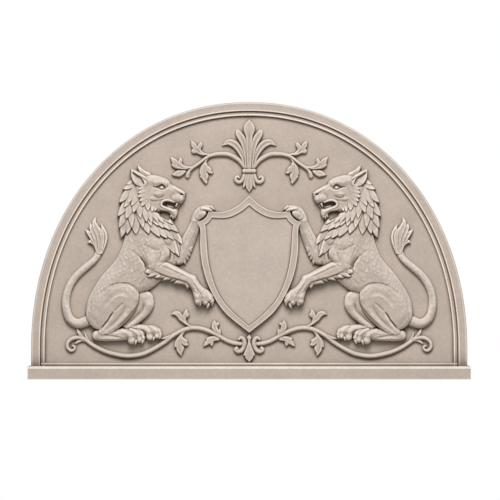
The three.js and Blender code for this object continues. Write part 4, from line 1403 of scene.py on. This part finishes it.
class TYMPANUM_OT_sill(bpy.types.Operator):
    """Make the sill that the panel stands on."""

    bl_idname = "tympanum.sill"
    bl_label = "Sill"

    def execute(self, context):
        sizes = millimetres(context.scene.tympanum_sizes)
        low, high = SILL_BOX
        shape = bmesh.new()
        bmesh.ops.create_cube(shape, size=1.0)
        for vertex in shape.verts:
            for axis in range(3):
                vertex.co[axis] = high[axis] if vertex.co[axis] > 0 else low[axis]
        top_front = [edge for edge in shape.edges
                     if all(v.co.y < low[1] + 1e-4 and v.co.z > high[2] - 1e-4 for v in edge.verts)]
        bmesh.ops.bevel(shape, geom=top_front, offset=sizes.sill_chamfer * MM, affect="EDGES", segments=1,
                        profile=0.5, material=-1)
        sharp = [edge for edge in shape.edges if edge.calc_face_angle(0) > 0.5]
        bmesh.ops.bevel(shape, geom=sharp, offset=SILL_ARRIS * MM, affect="EDGES", segments=2,
                        profile=0.5, material=-1)
        # every face gets a margin, so that the painted highlight along the arrises stays narrow
        layer = shape.verts.layers.float.new("painted_shade_highlight")
        for vertex in shape.verts:
            vertex[layer] = PAINTED_ARRIS_HIGHLIGHT
        large = [face for face in shape.faces if face.calc_area() > 0.02]
        bmesh.ops.inset_individual(shape, faces=large, thickness=SILL_MARGIN * MM)
        for face in large:
            for vertex in face.verts:
                vertex[layer] = 0.0
        finish_piece("sill_course", shape, "sill", "sill_stone", smooth=False)
        return {"FINISHED"}


class TYMPANUM_OT_stage(bpy.types.Operator):
    """Set the floor, the soft studio light and the camera of the photograph."""

    bl_idname = "tympanum.stage"
    bl_label = "Stage"

    def execute(self, context):
        scene = context.scene
        floor_shape = bmesh.new()
        bmesh.ops.create_grid(floor_shape, x_segments=1, y_segments=1, size=FLOOR_HALF_WIDTH)
        bmesh.ops.translate(floor_shape, vec=(0, 0, CAD_BOX[0][2] - FLOOR_DROP), verts=floor_shape.verts)
        floor_mesh = bpy.data.meshes.new("floor")
        floor_shape.to_mesh(floor_mesh)
        floor_shape.free()
        floor = bpy.data.objects.new("floor", floor_mesh)
        scene.collection.objects.link(floor)
        paint = bpy.data.materials.new("floor_paint")
        paint.use_nodes = True
        surface = paint.node_tree.nodes["Principled BSDF"]
        surface.inputs["Base Color"].default_value = (*linear("#F2F1EF"), 1)
        surface.inputs["Roughness"].default_value = 0.9
        floor_mesh.materials.append(paint)

        # white to the camera, a dimmer white as light
        world = bpy.data.worlds.new("studio")
        world.use_nodes = True
        tree = world.node_tree
        tree.nodes.clear()
        seen = add_node(tree, "ShaderNodeLightPath").outputs["Is Camera Ray"]
        strength = add_node(tree, "ShaderNodeMapRange", {"To Min": 0.3, "To Max": 1.0}, {"Value": seen})
        background = add_node(tree, "ShaderNodeBackground", {"Color": (1, 1, 1, 1)},
                              {"Strength": strength.outputs[0]})
        add_node(tree, "ShaderNodeOutputWorld", None, {"Surface": background.outputs[0]})
        scene.world = world

        # one wide soft box high in front
        lamp = bpy.data.lights.new("key", "AREA")
        lamp.size = KEY_SIZE
        lamp.energy = KEY_POWER
        light = bpy.data.objects.new("key", lamp)
        scene.collection.objects.link(light)
        light.location = KEY_PLACE
        light.rotation_euler = light.location.to_track_quat("Z", "Y").to_euler()

        # square on and from far off
        lens = bpy.data.cameras.new("camera")
        lens.sensor_width = 36.0
        lens.lens = lens.sensor_width * (CAMERA_DISTANCE - BAND_FACE) / SHOWN_WIDTH
        camera = bpy.data.objects.new("camera", lens)
        scene.collection.objects.link(camera)
        camera.location = in_frame(PICTURE_MIDDLE[0], CAMERA_DISTANCE / MM, PICTURE_MIDDLE[1])
        camera.rotation_euler = (math.pi / 2, 0, 0)
        scene.camera = camera
        scene.view_settings.view_transform = "Standard"
        return {"FINISHED"}


class TYMPANUM_PT_sidebar(bpy.types.Panel):
    """Lists the panel's sizes, colours and pieces."""

    bl_idname = "TYMPANUM_PT_sidebar"
    bl_label = "Tympanum panel"
    bl_space_type = "VIEW_3D"
    bl_region_type = "UI"
    bl_category = "Tympanum"

    def draw(self, context):
        layout = self.layout
        for group in (context.scene.tympanum_sizes, context.scene.tympanum_finish):
            for name in group.__annotations__:
                layout.prop(group, name)
        for operator in OPERATORS:
            layout.operator(operator.bl_idname)


OPERATORS = (TYMPANUM_OT_materials, TYMPANUM_OT_slab, TYMPANUM_OT_shield, TYMPANUM_OT_lions,
             TYMPANUM_OT_foliage, TYMPANUM_OT_sill, TYMPANUM_OT_stage)
CLASSES = (TympanumSizes, TympanumFinish, *OPERATORS, TYMPANUM_PT_sidebar)


def register():
    """Makes the classes and their settings known to Blender."""
    for item in CLASSES:
        bpy.utils.register_class(item)
    bpy.types.Scene.tympanum_sizes = bpy.props.PointerProperty(type=TympanumSizes)
    bpy.types.Scene.tympanum_finish = bpy.props.PointerProperty(type=TympanumFinish)


def unregister():
    """Takes the classes and their settings away again."""
    del bpy.types.Scene.tympanum_finish
    del bpy.types.Scene.tympanum_sizes
    for item in reversed(CLASSES):
        bpy.utils.unregister_class(item)


def main():
    """Builds every piece and the stage."""
    register()
    bpy.ops.tympanum.materials()
    bpy.ops.tympanum.slab()
    bpy.ops.tympanum.shield()
    bpy.ops.tympanum.lions()
    bpy.ops.tympanum.foliage()
    bpy.ops.tympanum.sill()
    bpy.ops.tympanum.stage()


if __name__ == "__main__":
    main()
